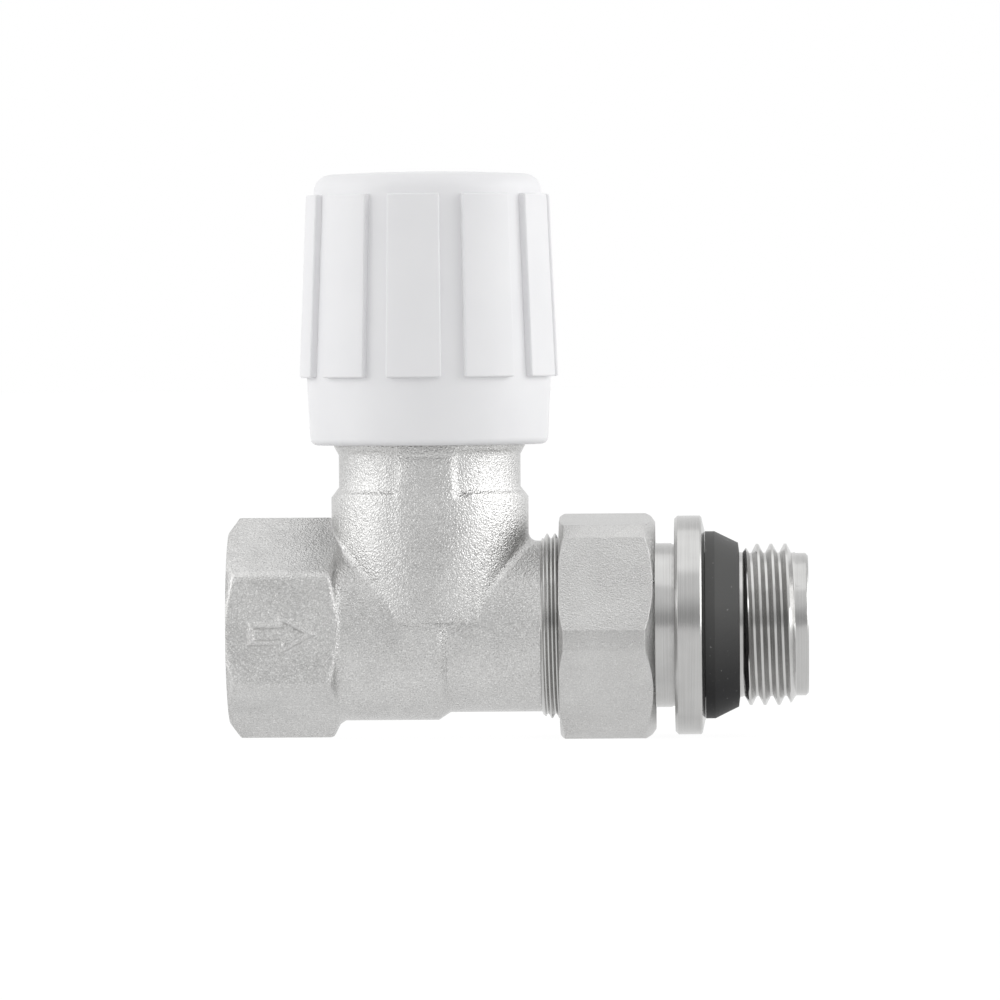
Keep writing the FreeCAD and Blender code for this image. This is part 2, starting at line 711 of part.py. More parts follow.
def make_bonnet():
    """The brass headwork: stem thread below, hexagon, stem guide and gland above."""
    body = new_body("bonnet")
    revolve(body, "Turning", [
        ("stem_thread_radius + thread_clearance", "bonnet_foot"),
        ("bonnet_thread_radius - thread_lead", "bonnet_foot"),
        ("bonnet_thread_radius", "bonnet_foot + thread_lead"),
        ("bonnet_thread_radius", "neck_seal_floor - bonnet_undercut"),
        ("bonnet_undercut_radius", "neck_seal_floor"),
        ("bonnet_undercut_radius", "neck_top"),
        ("bonnet_hex_corner_radius", "neck_top"),
        ("bonnet_hex_corner_radius", "bonnet_hex_top - hex_chamfer_height"),
        ("bonnet_hex_corner_radius - hex_chamfer_fall", "bonnet_hex_top"),
        ("bonnet_collar_radius", "bonnet_hex_top"),
        ("bonnet_collar_radius", "bonnet_top - 2 * edge_break"),
        ("bonnet_collar_radius - 2 * edge_break", "bonnet_top"),
        ("gland_thread_radius + edge_break", "bonnet_top"),
        ("gland_thread_radius", "bonnet_top - edge_break"),
        ("gland_thread_radius", "gland_thread_foot"),
        ("gland_radius", "gland_thread_foot"),
        ("gland_radius", "gland_floor"),
        ("stem_bore_radius", "gland_floor"),
        ("stem_bore_radius", "stem_guide_foot"),
        ("stem_thread_radius + thread_clearance", "stem_guide_foot - hex_chamfer_height"),
    ])
    cut_hexagon(body, "Hexagon", "bonnet_hex_flats", "bonnet_hex_corner_radius", "neck_top", "bonnet_hex_height")
    return on_stem_line(body)


def make_bonnet_o_ring():
    """Seal between the bonnet and the counterbore of the neck."""
    return o_ring("bonnet_o_ring", "bonnet_undercut_radius + assembly_clearance", "bonnet_seal_section",
                  "neck_seal_floor + assembly_clearance")


def make_stem():
    """The rising spindle: tip with its clip groove, thread, sealing shaft and square."""
    body = new_body("stem")
    revolve(body, "Turning", [
        ("0", "stem_foot"),
        ("stem_radius - edge_break", "stem_foot"),
        ("stem_radius", "stem_foot + edge_break"),
        ("stem_radius", "clip_groove_foot"),
        ("stem_groove_radius", "clip_groove_foot"),
        ("stem_groove_radius", "clip_groove_top"),
        ("stem_radius", "clip_groove_top"),
        ("stem_radius", "stem_thread_foot"),
        ("stem_thread_radius", "stem_thread_foot + thread_lead"),
        ("stem_thread_radius", "stem_thread_top - thread_lead"),
        ("stem_radius", "stem_thread_top"),
        ("stem_radius", "stem_top - edge_break"),
        ("stem_radius - edge_break", "stem_top"),
        ("screw_radius", "stem_top"),
        ("screw_radius", "screw_foot - screw_hole_overrun"),
        ("0", "screw_foot - 2 * screw_hole_overrun"),
    ])
    square = new_sketch(body, "SquareOutline", "XY_Plane", {"z": "stem_square_foot"})
    draw_circle(square, "stem_radius + cutter_reach")
    half = "stem_square_flats / 2"
    draw_outline(square, rectangle(f"-{half}", f"-{half}", half, half))
    extrude(body, "Square", square, "stem_square_length", kind="PartDesign::Pocket", backwards=True)
    return on_stem_line(body, "rib_phase")


def make_stem_seal(label, foot):
    """One of the two O-rings that slide on the stem."""
    return o_ring(label, "stem_bore_radius", "stem_seal_section", foot)


def make_seal_spacer():
    """Thin ring that keeps the two stem seals apart."""
    body = new_body("seal_spacer")
    revolve(body, "Turning", rectangle(
        "stem_bore_radius", "spacer_foot",
        "gland_radius - assembly_clearance", "spacer_foot + seal_spacer_height"))
    return on_stem_line(body)


def make_gland_washer():
    """Washer that the gland nut presses on the upper seal."""
    body = new_body("gland_washer")
    revolve(body, "Turning", rectangle(
        "stem_bore_radius", "gland_washer_foot",
        "gland_radius - assembly_clearance", "gland_thread_foot"))
    return on_stem_line(body)


def make_gland_nut():
    """Hexagon plug screwed into the top of the bonnet."""
    body = new_body("gland_nut")
    revolve(body, "Turning", [
        ("stem_bore_radius", "gland_thread_foot + assembly_clearance"),
        ("gland_thread_radius - thread_clearance - edge_break", "gland_thread_foot + assembly_clearance"),
        ("gland_thread_radius - thread_clearance", "gland_thread_foot + assembly_clearance + edge_break"),
        ("gland_thread_radius - thread_clearance", "gland_nut_foot"),
        ("gland_nut_corner_radius", "gland_nut_foot"),
        ("gland_nut_corner_radius", "gland_nut_top - hex_chamfer_height / 2"),
        ("gland_nut_corner_radius - hex_chamfer_fall / 2", "gland_nut_top"),
        ("stem_bore_radius", "gland_nut_top"),
    ])
    cut_hexagon(body, "Hexagon", "gland_nut_flats", "gland_nut_corner_radius",
                "gland_nut_foot", "gland_nut_height")
    return on_stem_line(body)


def make_disc_carrier():
    """Cup that holds the rubber disc, with a hub round the stem's tip."""
    body = new_body("disc_carrier")
    revolve(body, "Turning", [
        ("0", "carrier_stud_foot"),
        ("carrier_stud_radius", "carrier_stud_foot"),
        ("carrier_stud_radius", "disc_top"),
        ("disc_radius + assembly_clearance", "disc_top"),
        ("disc_radius + assembly_clearance", "disc_top - carrier_rim_height"),
        ("carrier_radius", "disc_top - carrier_rim_height"),
        ("carrier_radius", "carrier_flange_top"),
        ("carrier_hub_radius", "carrier_flange_top"),
        ("carrier_hub_radius", "carrier_top"),
        ("stem_bore_radius", "carrier_top"),
        ("stem_bore_radius", "clip_groove_top"),
        ("clip_groove_radius", "clip_groove_top"),
        ("clip_groove_radius", "clip_groove_foot"),
        ("stem_bore_radius", "clip_groove_foot"),
        ("stem_bore_radius", "carrier_floor"),
        ("0", "carrier_floor"),
    ])
    return on_stem_line(body)


def make_disc_seal():
    """Rubber disc that closes on the lip of the seat."""
    body = new_body("disc_seal")
    revolve(body, "Turning", rectangle(
        "carrier_stud_radius + assembly_clearance", "disc_foot", "disc_radius", "disc_top"))
    return on_stem_line(body)


def make_disc_nut():
    """Nut under the rubber disc, which hangs in the bore of the seat."""
    body = new_body("disc_nut")
    sketch = new_sketch(body, "NutOutline", "XY_Plane", {"z": "disc_nut_foot"})
    draw_outline(sketch, hexagon("disc_nut_flats"))
    draw_circle(sketch, "carrier_stud_radius + thread_clearance")
    extrude(body, "Nut", sketch, "disc_nut_height")
    return on_stem_line(body)


def make_stem_clip():
    """Open spring ring that ties the carrier to the stem's tip."""
    body = new_body("stem_clip")
    revolve(body, "Ring", rectangle(
        "stem_groove_radius + running_clearance", "clip_foot",
        "clip_radius", "clip_foot + clip_thickness"), angle="360 - clip_gap_angle")
    return on_stem_line(body)


def make_handwheel():
    """The one-piece moulded handwheel: skirt, grip with ribs, crown, boss and inner webs."""
    body = new_body("handwheel")
    outside = revolve(body, "Outside", [
        ("wheel_bore_radius", "skirt_foot"),
        ("skirt_foot_radius", "skirt_foot"),
        ("skirt_top_radius", "skirt_top"),
        ("grip_top_radius", "crown_edge_height"),
        ("cap_radius + assembly_clearance", "crown_height"),
        ("cap_radius + assembly_clearance", "cap_pocket_foot"),
        ("screw_pocket_radius", "cap_pocket_foot"),
        ("screw_pocket_radius", "washer_foot"),
        ("screw_radius + screw_hole_gap", "washer_foot"),
        ("screw_radius + screw_hole_gap", "wheel_boss_foot"),
        ("wheel_boss_radius", "wheel_boss_foot"),
        ("wheel_boss_radius", "cap_collar_foot"),
        ("cap_collar_radius", "cap_collar_foot"),
        ("cap_collar_radius", "wheel_ceiling"),
        ("wheel_ceiling_radius", "wheel_ceiling"),
    ])
    doc.recompute()
    crown = dress(body, "CrownFillet", "PartDesign::Fillet", outside,
                  rim_at(outside.Shape, "crown_edge_height", "grip_top_radius"), "Radius", "crown_fillet")
    doc.recompute()
    dress(body, "SkirtFillet", "PartDesign::Fillet", crown,
          rim_at(crown.Shape, "skirt_foot", "skirt_foot_radius"), "Radius", "skirt_edge_fillet")

    socket = new_sketch(body, "SquareSocketOutline", "XY_Plane", {"z": "wheel_boss_foot"})
    half = "(stem_square_flats / 2 + assembly_clearance)"
    draw_outline(socket, rectangle(f"-{half}", f"-{half}", half, half))
    extrude(body, "SquareSocket", socket, "screw_floor - wheel_boss_foot",
            kind="PartDesign::Pocket", backwards=True)

    web = new_sketch(body, "WebOutline", "XZ_Plane")
    draw_outline(web, rectangle("wheel_boss_radius - web_overlap", "wheel_web_foot",
                                "wheel_ceiling_radius + web_overlap", "wheel_ceiling + web_overlap"))
    web_pad = extrude(body, "Web", web, "wheel_web_thickness")
    web_pad.Midplane = True
    pattern(body, "Webs", web_pad, "wheel_web_count")

    rib = revolve(body, "Rib", [
        ("grip_top_radius - rib_root", "skirt_top"),
        ("rib_foot_radius", "skirt_top"),
        ("rib_top_radius", "grip_top"),
        ("grip_top_radius - rib_root", "grip_top"),
    ], angle="rib_angle", midplane=True)
    pattern(body, "Ribs", rib, "rib_count")
    return on_stem_line(body, "rib_phase")


def rim_at(shape, height, radius):
    """The names of the round edges at a height, with one radius about the Z axis."""
    return [
        f"Edge{index}" for index, edge in enumerate(shape.Edges, start=1)
        if isinstance(edge.Curve, Part.Circle)
        and abs(edge.Curve.Radius - number(radius)) < 1e-4
        and abs(edge.BoundBox.ZMin - number(height)) < 1e-4
    ]


def pattern(body, name, feature, count):
    """Repeats a feature evenly round the body's own Z axis."""
    turns = body.newObject("PartDesign::PolarPattern", name)
    turns.Originals = [feature]
    turns.Axis = (next(item for item in body.Origin.OriginFeatures if item.Role == "Z_Axis"), [""])
    turns.Angle = 360
    bind(turns, "Occurrences", count)
    body.Tip = turns
    return turns


def make_handwheel_screw():
    """Pan-head screw with a hexagon socket, which holds the handwheel on the square."""
    body = new_body("handwheel_screw")
    revolve(body, "Turning", [
        ("0", "screw_foot"),
        ("screw_radius - thread_clearance - edge_break", "screw_foot"),
        ("screw_radius - thread_clearance", "screw_foot + edge_break"),
        ("screw_radius - thread_clearance", "screw_head_foot"),
        ("screw_head_radius", "screw_head_foot"),
        ("screw_head_radius", "screw_head_top - screw_head_crown"),
        ("screw_head_radius - screw_head_crown", "screw_head_top"),
        ("0", "screw_head_top"),
    ])
    socket = new_sketch(body, "SocketOutline", "XY_Plane", {"z": "screw_head_top"})
    draw_outline(socket, hexagon("screw_socket_flats"))
    extrude(body, "Socket", socket, "screw_socket_depth", kind="PartDesign::Pocket")
    return on_stem_line(body)


def make_screw_washer():
    """Flat washer under the screw's head."""
    body = new_body("screw_washer")
    revolve(body, "Turning", rectangle(
        "screw_radius + screw_hole_gap", "washer_foot", "screw_washer_radius", "screw_head_foot"))
    return on_stem_line(body)


def make_handwheel_cap():
    """Snap-in cover over the screw, flush with the crown."""
    body = new_body("handwheel_cap")
    revolve(body, "Turning", [
        ("0", "cap_foot"),
        ("screw_pocket_radius - cap_plug_wall", "cap_foot"),
        ("screw_pocket_radius - cap_plug_wall", "cap_foot - cap_plug_depth"),
        ("screw_pocket_radius - assembly_clearance", "cap_foot - cap_plug_depth"),
        ("screw_pocket_radius - assembly_clearance", "cap_foot"),
        ("cap_radius", "cap_foot"),
        ("cap_radius", "crown_height - edge_break / 2"),
        ("cap_radius - edge_break / 2", "crown_height"),
        ("0", "crown_height"),
    ])
    return on_stem_line(body)


def make_union_nut():
    """Hexagon nut that draws the tailpiece's collar against the body."""
    body = new_body("union_nut")
    revolve(body, "Turning", [
        ("union_thread_radius + thread_clearance + thread_lead", "nut_station"),
        ("nut_corner_radius - nut_front_fall", "nut_station"),
        ("nut_corner_radius", "nut_station + nut_front_chamfer"),
        ("nut_corner_radius", "nut_end - nut_back_chamfer"),
        ("nut_corner_radius - nut_back_fall", "nut_end"),
        ("tail_tube_radius + running_clearance + edge_break", "nut_end"),
        ("tail_tube_radius + running_clearance", "nut_end - edge_break"),
        ("tail_tube_radius + running_clearance", "nut_shoulder_station"),
        ("union_thread_radius + thread_clearance", "nut_shoulder_station"),
        ("union_thread_radius + thread_clearance", "nut_station + thread_lead"),
    ])
    cut_hexagon(body, "Hexagon", "nut_flats", "nut_corner_radius", "nut_station", "nut_length",
                "nut_clocking - 90")
    return on_pipe_line(body)


def make_tailpiece():
    """The turned tail: spigot, collar, tube, seats of both rings, male thread and pilot."""
    body = new_body("tailpiece")
    revolve(body, "Turning", [
        ("tail_bore_radius", "spigot_station"),
        ("spigot_radius - edge_break", "spigot_station"),
        ("spigot_radius", "spigot_station + edge_break"),
        ("spigot_radius", "spigot_groove_station"),
        ("spigot_seal_radius", "spigot_groove_station"),
        ("spigot_seal_radius", "spigot_groove_station + spigot_groove_width"),
        ("spigot_radius", "spigot_groove_station + spigot_groove_width"),
        ("spigot_radius", "collar_station"),
        ("collar_radius", "collar_station"),
        ("collar_radius", "collar_end"),
        ("tail_tube_radius", "collar_end"),
        ("tail_tube_radius", "tail_tube_end - edge_break"),
        ("ring_seat_radius", "tail_tube_end"),
        ("ring_seat_radius", "ring_end"),
        ("seal_seat_radius", "ring_end"),
        ("seal_seat_radius", "male_thread_station"),
        ("pipe_thread_radius", "male_thread_station + male_thread_chamfer"),
        ("pipe_thread_radius", "male_thread_end - male_thread_chamfer"),
        ("pilot_radius", "male_thread_end"),
        ("pilot_radius", "overall_length - pilot_chamfer"),
        ("pilot_radius - pilot_chamfer", "overall_length"),
        ("key_flats / 2 - key_lip", "overall_length"),
        ("key_flats / 2 - key_lip", "overall_length - key_depth"),
        ("tail_bore_radius", "overall_length - key_depth - key_lip"),
    ])
    key = new_sketch(body, "KeyOutline", "XY_Plane", {"z": "overall_length"})
    draw_outline(key, hexagon("key_flats", "30"))
    extrude(body, "KeySocket", key, "key_depth + key_lip", kind="PartDesign::Pocket")
    return on_pipe_line(body)


def make_tailpiece_o_ring():
    """Seal on the tailpiece's spigot."""
    return o_ring("tailpiece_o_ring", "spigot_seal_radius + assembly_clearance / 2", "spigot_seal_section",
                  "spigot_groove_station + 2 * assembly_clearance", along_flow=True)


def make_backing_ring():
    """Turned ring behind the rubber ring, with a slightly raised bearing face."""
    body = new_body("backing_ring")
    revolve(body, "Turning", [
        ("ring_seat_radius + thread_clearance", "ring_station"),
        ("ring_radius - ring_chamfer", "ring_station"),
        ("ring_radius", "ring_station + ring_chamfer"),
        ("ring_radius", "ring_end - ring_face_rise - ring_edge"),
        ("ring_radius - ring_edge", "ring_end - ring_face_rise"),
        ("ring_face_radius", "ring_end"),
        ("ring_seat_radius + thread_clearance", "ring_end"),
    ])
    return on_pipe_line(body)


def make_sealing_ring():
    """Black rubber ring with a conical nose."""
    body = new_body("sealing_ring")
    revolve(body, "Turning", [
        ("seal_seat_radius + assembly_clearance", "seal_station"),
        ("seal_radius", "seal_station"),
        ("seal_radius", "seal_band_end"),
        ("seal_nose_radius", "seal_nose_end"),
        ("seal_seat_radius + assembly_clearance", "seal_nose_end + seal_face_rise"),
    ])
    return on_pipe_line(body)


def make_all():
    """Every sub-part, in the order in which the valve goes together."""
    return [
        make_valve_body(),
        make_bonnet(),
        make_bonnet_o_ring(),
        make_stem_seal("lower_stem_o_ring", "lower_seal_foot"),
        make_seal_spacer(),
        make_stem_seal("upper_stem_o_ring", "upper_seal_foot"),
        make_gland_washer(),
        make_gland_nut(),
        make_disc_carrier(),
        make_disc_seal(),
        make_disc_nut(),
        make_stem_clip(),
        make_stem(),
        make_handwheel(),
        make_screw_washer(),
        make_handwheel_screw(),
        make_handwheel_cap(),
        make_tailpiece(),
        make_tailpiece_o_ring(),
        make_union_nut(),
        make_backing_ring(),
        make_sealing_ring(),
    ]


def check(pieces):
    """Stops on a failed object or on a sub-part that isn't one valid solid."""
    failed = [item.Label for item in doc.Objects if {"Invalid", "Error"} & set(item.State)]
    if failed:
        raise RuntimeError(f"these objects failed: {failed}")
    for piece in pieces:
        shape = piece.Shape
        if shape.isNull() or not shape.isValid() or len(shape.Solids) != 1:
            raise RuntimeError(f"{piece.Label} isn't one valid solid")


def write(pieces):
    """One STEP file for each sub-part, named by its label."""
    os.makedirs("parts", exist_ok=True)
    for piece in pieces:
        piece.Shape.exportStep(f"parts/{piece.Label}.step")
        box = piece.Shape.BoundBox
        print(f"{piece.Label:20s} {piece.Shape.Volume:10.1f} mm3   "
              f"x {box.XMin:7.2f} {box.XMax:7.2f}   y {box.YMin:7.2f} {box.YMax:7.2f}   "
              f"z {box.ZMin:7.2f} {box.ZMax:7.2f}")


sub_parts = make_all()
doc.recompute()
check(sub_parts)
write(sub_parts)
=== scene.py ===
# %% [markdown]
# # Dressing a radiator valve
#
# The model of this valve comes from a CAD program, where every piece is a solid with its real
# size. Here it gets what a camera sees: threads, rounded edges, nickel, brass, rubber and white
# plastic. The CAD model is loaded as a fixed frame. A new piece is drawn where the frame says,
# and moves with one of the frame's bodies.

import math

import bmesh
import bpy
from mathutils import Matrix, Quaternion, Vector


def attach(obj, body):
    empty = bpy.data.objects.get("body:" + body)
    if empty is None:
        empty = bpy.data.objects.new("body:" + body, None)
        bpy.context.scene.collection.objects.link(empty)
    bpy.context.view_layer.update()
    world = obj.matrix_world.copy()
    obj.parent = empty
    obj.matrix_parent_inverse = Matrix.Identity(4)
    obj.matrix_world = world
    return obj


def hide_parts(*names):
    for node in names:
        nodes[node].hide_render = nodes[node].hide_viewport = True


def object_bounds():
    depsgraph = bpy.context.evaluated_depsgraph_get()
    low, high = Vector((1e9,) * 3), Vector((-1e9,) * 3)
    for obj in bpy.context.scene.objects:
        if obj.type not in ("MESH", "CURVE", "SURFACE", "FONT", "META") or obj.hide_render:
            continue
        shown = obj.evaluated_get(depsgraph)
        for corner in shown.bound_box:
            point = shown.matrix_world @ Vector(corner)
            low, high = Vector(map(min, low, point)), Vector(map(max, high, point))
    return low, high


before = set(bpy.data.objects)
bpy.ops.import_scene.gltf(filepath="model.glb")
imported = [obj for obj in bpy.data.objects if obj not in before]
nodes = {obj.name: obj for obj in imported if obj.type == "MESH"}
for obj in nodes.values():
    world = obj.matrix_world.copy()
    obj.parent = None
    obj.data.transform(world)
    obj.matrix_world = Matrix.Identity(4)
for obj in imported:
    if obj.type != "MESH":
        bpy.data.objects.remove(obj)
cad_low, cad_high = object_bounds()

# %% [markdown]
# Blender works in metres and this valve is drawn in millimetres, so one factor turns one into
# the other. The few sizes that the new pieces share with the CAD model are gathered here: the
# stem's line crosses the pipe's axis at STEM, and x runs along the flow from the face of the
# inlet. Two threads have standard sizes: the half-inch pipe thread at both ends of the valve,
# and the finer thread that the union nut runs on.

# %% Shared sizes
MM = 0.001
STEM = 26.1
PIPE_THREAD = {"Crest Radius": 10.4775, "Root Radius": 9.3155, "Pitch": 1.814}
UNION_THREAD = {"Crest Radius": 12.0, "Root Radius": 11.4, "Pitch": 1.0}
print("turns of the pipe thread in a centimetre:", round(10.0 / PIPE_THREAD["Pitch"], 2))

# %% [markdown]
# The photograph was taken from far away with a long lens, a little to the right of the valve
# and a little above its pipe. A camera far off with a long lens gives the same flat
# perspective, and a small roll copies the tilt of the real camera.

# %% Camera
CAMERA_PLACE = Vector((64.6, -1160.0, 37.2)) * MM
CAMERA_AIM = Vector((35.2, 0.0, 16.4)) * MM
CAMERA_ROLL = math.radians(-0.45)


def add_object(name, data):
    """A new object in the scene, at the origin and unturned."""
    made = bpy.data.objects.new(name, data)
    bpy.context.scene.collection.objects.link(made)
    return made


def look_at(thing, place, target, roll=0.0):
    """Puts a camera or a lamp in its place and points it at a target."""
    thing.location = place
    thing.rotation_mode = "QUATERNION"
    pointed = (target - place).to_track_quat("-Z", "Y")
    thing.rotation_quaternion = pointed @ Quaternion((0.0, 0.0, 1.0), roll)


camera_data = bpy.data.cameras.new("camera")
camera_data.lens = 321.7
camera_data.sensor_width = 36.0
camera_data.clip_end = 100.0
camera = add_object("camera", camera_data)
look_at(camera, CAMERA_PLACE, CAMERA_AIM, CAMERA_ROLL)
bpy.context.scene.camera = camera
print("camera distance in metres:", round((CAMERA_AIM - CAMERA_PLACE).length, 3))

# %% [markdown]
# Node trees are easier to read as sums than as lists of links. A Wire is one output socket of
# a node, and adding or multiplying wires adds the Math nodes for it. A Board is the tree that
# they lie on. Its method node makes any node from a type, its settings and the values or wires
# of its sockets, and the methods below it are short forms of the nodes that are used most.

# %% Wires and boards
class Wire:
    """One output socket of a node, which can be used in sums."""

    def __init__(self, board, socket):
        self.board = board
        self.socket = socket

    def __add__(self, other):
        return self.board.maths("ADD", self, other)

    def __sub__(self, other):
        return self.board.maths("SUBTRACT", self, other)

    def __rsub__(self, other):
        return self.board.maths("SUBTRACT", other, self)

    def __mul__(self, other):
        return self.board.maths("MULTIPLY", self, other)

    def __truediv__(self, other):
        return self.board.maths("DIVIDE", self, other)

    __radd__ = __add__
    __rmul__ = __mul__


class Board:
    """A node tree that is being wired."""

    def __init__(self, tree):
        self.tree = tree

    def node(self, kind, settings=None, sockets=None, output=0):
        """A new node with its settings and sockets, as the wire of one of its outputs."""
        made = self.tree.nodes.new(kind)
        for name, value in (settings or {}).items():
            setattr(made, name, value)
        for name, value in (sockets or {}).items():
            self.feed(self.find(made.inputs, name), value)
        return Wire(self, self.find(made.outputs, output))

    def find(self, sockets, name):
        """One of a node's sockets that are in use, by its number or its name."""
        usable = [socket for socket in sockets if socket.enabled]
        if isinstance(name, int):
            return usable[name]
        return next(socket for socket in usable if socket.name == name)

    def feed(self, socket, value):
        """Links a wire to a socket, or sets the socket to a plain value."""
        if isinstance(value, Wire):
            self.tree.links.new(value.socket, socket)
        else:
            socket.default_value = value

    def maths(self, operation, *terms):
        """A Math node."""
        return self.node("ShaderNodeMath", {"operation": operation}, dict(enumerate(terms)))

    def clamp(self, value, low, high):
        """A value that is held between two limits."""
        return self.node("ShaderNodeClamp", {}, {"Value": value, "Min": low, "Max": high})

    def ramp(self, value, start, end, top=1.0, shape="LINEAR"):
        """Rises from 0 to a top while a value goes from start to end, and is flat outside."""
        return self.node("ShaderNodeMapRange", {"interpolation_type": shape}, {
            "Value": value, "From Min": start, "From Max": end, "To Min": 0.0, "To Max": top})

    def axis(self, vector, name):
        """One coordinate of a vector."""
        return self.node("ShaderNodeSeparateXYZ", {}, {0: vector}, name)


print("wires and boards are ready")

# %% [markdown]
# Some pieces follow a rule: a thread is a ridge on a spiral, and the ribs of a handwheel repeat
# round a circle. Geometry Nodes draw these from a few named sizes. Such a tree is run once on
# an empty object, and the result is kept as a plain mesh, because the finished pieces carry no
# live modifiers.

# %% Running a geometry tree
def new_geometry_tree(name, inputs):
    """A geometry tree with named inputs, as a board, with a wire for each input."""
    tree = bpy.data.node_groups.new(name, "GeometryNodeTree")
    tree.interface.new_socket("Geometry", in_out="OUTPUT", socket_type="NodeSocketGeometry")
    for label, kind in inputs.items():
        tree.interface.new_socket(label, in_out="INPUT", socket_type="NodeSocket" + kind)
    board = Board(tree)
    group = tree.nodes.new("NodeGroupInput")
    wires = {label: Wire(board, group.outputs[label]) for label in inputs}
    return board, wires


def close_geometry_tree(board, geometry, material):
    """Ends a geometry tree: its shape becomes one mesh and gets its material."""
    whole = board.node("GeometryNodeRealizeInstances", {}, {"Geometry": geometry})
    coated = board.node("GeometryNodeSetMaterial", {}, {"Geometry": whole, "Material": material})
    end = board.tree.nodes.new("NodeGroupOutput")
    board.feed(end.inputs["Geometry"], coated)
    return board.tree


def run_tree(tree, sizes, source=None):
    """The plain mesh that a tree makes from its sizes, and from a source mesh if it uses one."""
    holder = add_object("holder", source or bpy.data.meshes.new("holder"))
    modifier = holder.modifiers.new("tree", "NODES")
    modifier.node_group = tree
    for item in tree.interface.items_tree:
        if item.in_out == "INPUT" and item.name in sizes:
            modifier[item.identifier] = sizes[item.name]
    graph = bpy.context.evaluated_depsgraph_get()
    made = bpy.data.meshes.new_from_object(holder.evaluated_get(graph), depsgraph=graph)
    bpy.data.objects.remove(holder)
    return made


print("geometry trees can be run")

# %% [markdown]
# A thread is drawn on a grid that is rolled into a tube. The rows of the grid lean by one pitch
# over a full turn, so that each row lies on the crest, the flank or the root all the way round,
# and the ridge stays crisp with few faces. At both ends the rows are held back to the end's
# plane and the ridge sinks to the root, as it does where a cutting tool runs in and out.

# %% Thread tree
ROWS_PER_PITCH = 12
thread_board, size = new_geometry_tree("thread", {
    "Start": "Float", "End": "Float", "Root Radius": "Float", "Crest Radius": "Float",
    "Pitch": "Float", "Crest Place": "Float", "Run Out": "Float", "Sides": "Int",
    "Material": "Material",
})
length = size["End"] - size["Start"]
turns = thread_board.maths("CEIL", length / size["Pitch"] + 2.0)
first = thread_board.maths("FLOOR", (size["Start"] - size["Crest Place"]) / size["Pitch"] - 1.0)
grid = thread_board.node("GeometryNodeMeshGrid", {}, {
    "Size X": 1.0, "Size Y": 1.0, "Vertices X": size["Sides"] + 1.0,
    "Vertices Y": turns * ROWS_PER_PITCH + 1.0}, "Mesh")
place = thread_board.node("GeometryNodeInputPosition")
around = thread_board.axis(place, "X") + 0.5
along = thread_board.axis(place, "Y") + 0.5
row = along * turns + first
free = size["Crest Place"] + (row + around) * size["Pitch"]
held = thread_board.clamp(free, size["Start"], size["End"])
print("thread tree inputs:", len(size))

# %% [markdown]
# The height of the ridge depends only on the row: it rises from the root to the crest and falls
# again once in each pitch, with a flat at both. The run-out lets it be no higher than the
# distance from the nearer end allows.

# %% Thread tree: the ridge
FLAT_SHARE = 1.0 / 6.0
part = thread_board.maths("FRACT", row + 0.5)
lean = thread_board.maths("ABSOLUTE", part * 2.0 - 1.0)
ridge = (1.0 - FLAT_SHARE - lean) / (1.0 - 2.0 * FLAT_SHARE)
from_end = thread_board.maths("MINIMUM", held - size["Start"], size["End"] - held)
lower_one = thread_board.maths("MINIMUM", ridge, from_end / size["Run Out"])
height = thread_board.clamp(lower_one, 0.0, 1.0)
radius = size["Root Radius"] + (size["Crest Radius"] - size["Root Radius"]) * height
turn = around * (2.0 * math.pi)
spot = thread_board.node("ShaderNodeCombineXYZ", {}, {
    "X": held * MM,
    "Y": thread_board.maths("COSINE", turn) * radius * MM,
    "Z": thread_board.maths("SINE", turn) * radius * MM})
rolled = thread_board.node("GeometryNodeSetPosition", {}, {"Geometry": grid, "Position": spot})
seamless = thread_board.node("GeometryNodeMergeByDistance", {}, {
    "Geometry": rolled, "Distance": 0.001 * MM})
thread_tree = close_geometry_tree(thread_board, seamless, size["Material"])
print("thread tree nodes:", len(thread_tree.nodes))

# %% [markdown]
# ## Finishes
#
# Each finish is one Principled shader. A number that is the same all over goes straight on the
# shader's own socket. Colour, roughness and the surface's small relief change from place to
# place and come from noise, which reads Object coordinates in metres, so that a grain has its
# real size on every piece.

# %% Starting a finish
def new_finish(name, **constants):
    """A material as a board, with its shader's constants set."""
    material = bpy.data.materials.new(name)
    material.use_nodes = True
    board = Board(material.node_tree)
    board.material = material
    board.shader = material.node_tree.nodes["Principled BSDF"]
    board.spot = board.node("ShaderNodeTexCoord", {}, {}, "Object")
    for label, value in constants.items():
        board.shader.inputs[label.replace("_", " ")].default_value = value
    return board


def noise(board, grain, detail=2.0, spot=None):
    """A noise whose grains are about so many millimetres across."""
    return board.node("ShaderNodeTexNoise", {}, {
        "Vector": spot or board.spot, "Scale": 1.0 / (grain * MM), "Detail": detail}, "Fac")


def strong(wire, gain):
    """A noise with its contrast raised about its middle of 0.5."""
    return (wire - 0.5) * gain + 0.5


print("finishes can be started")

# %% [markdown]
# Three helpers feed a noise to the shader. The colour may go past its light end a little, which
# paints glints on single grains. The relief can also soften the edges of a piece: a Bevel node
# turns the normals near an edge, as if it were worn round.

# %% Colour, roughness and relief
# How far a mask may pass 1, which paints glints on single grains.
BRIGHTEST = 1.8


def paint(board, mask, tones):
    """Base colour from a dark to a light tone, by a mask that may pass 1 a little."""
    dark, light = tones
    mixed = board.node("ShaderNodeMix", {"data_type": "RGBA", "clamp_factor": False}, {
        "Factor": board.clamp(mask, 0.0, BRIGHTEST), "A": (*dark, 1.0), "B": (*light, 1.0)})
    board.feed(board.shader.inputs["Base Color"], mixed)


def vary_roughness(board, mask, limits):
    """Roughness between two limits, by a mask."""
    low, high = limits
    board.feed(board.shader.inputs["Roughness"], low + mask * (high - low))


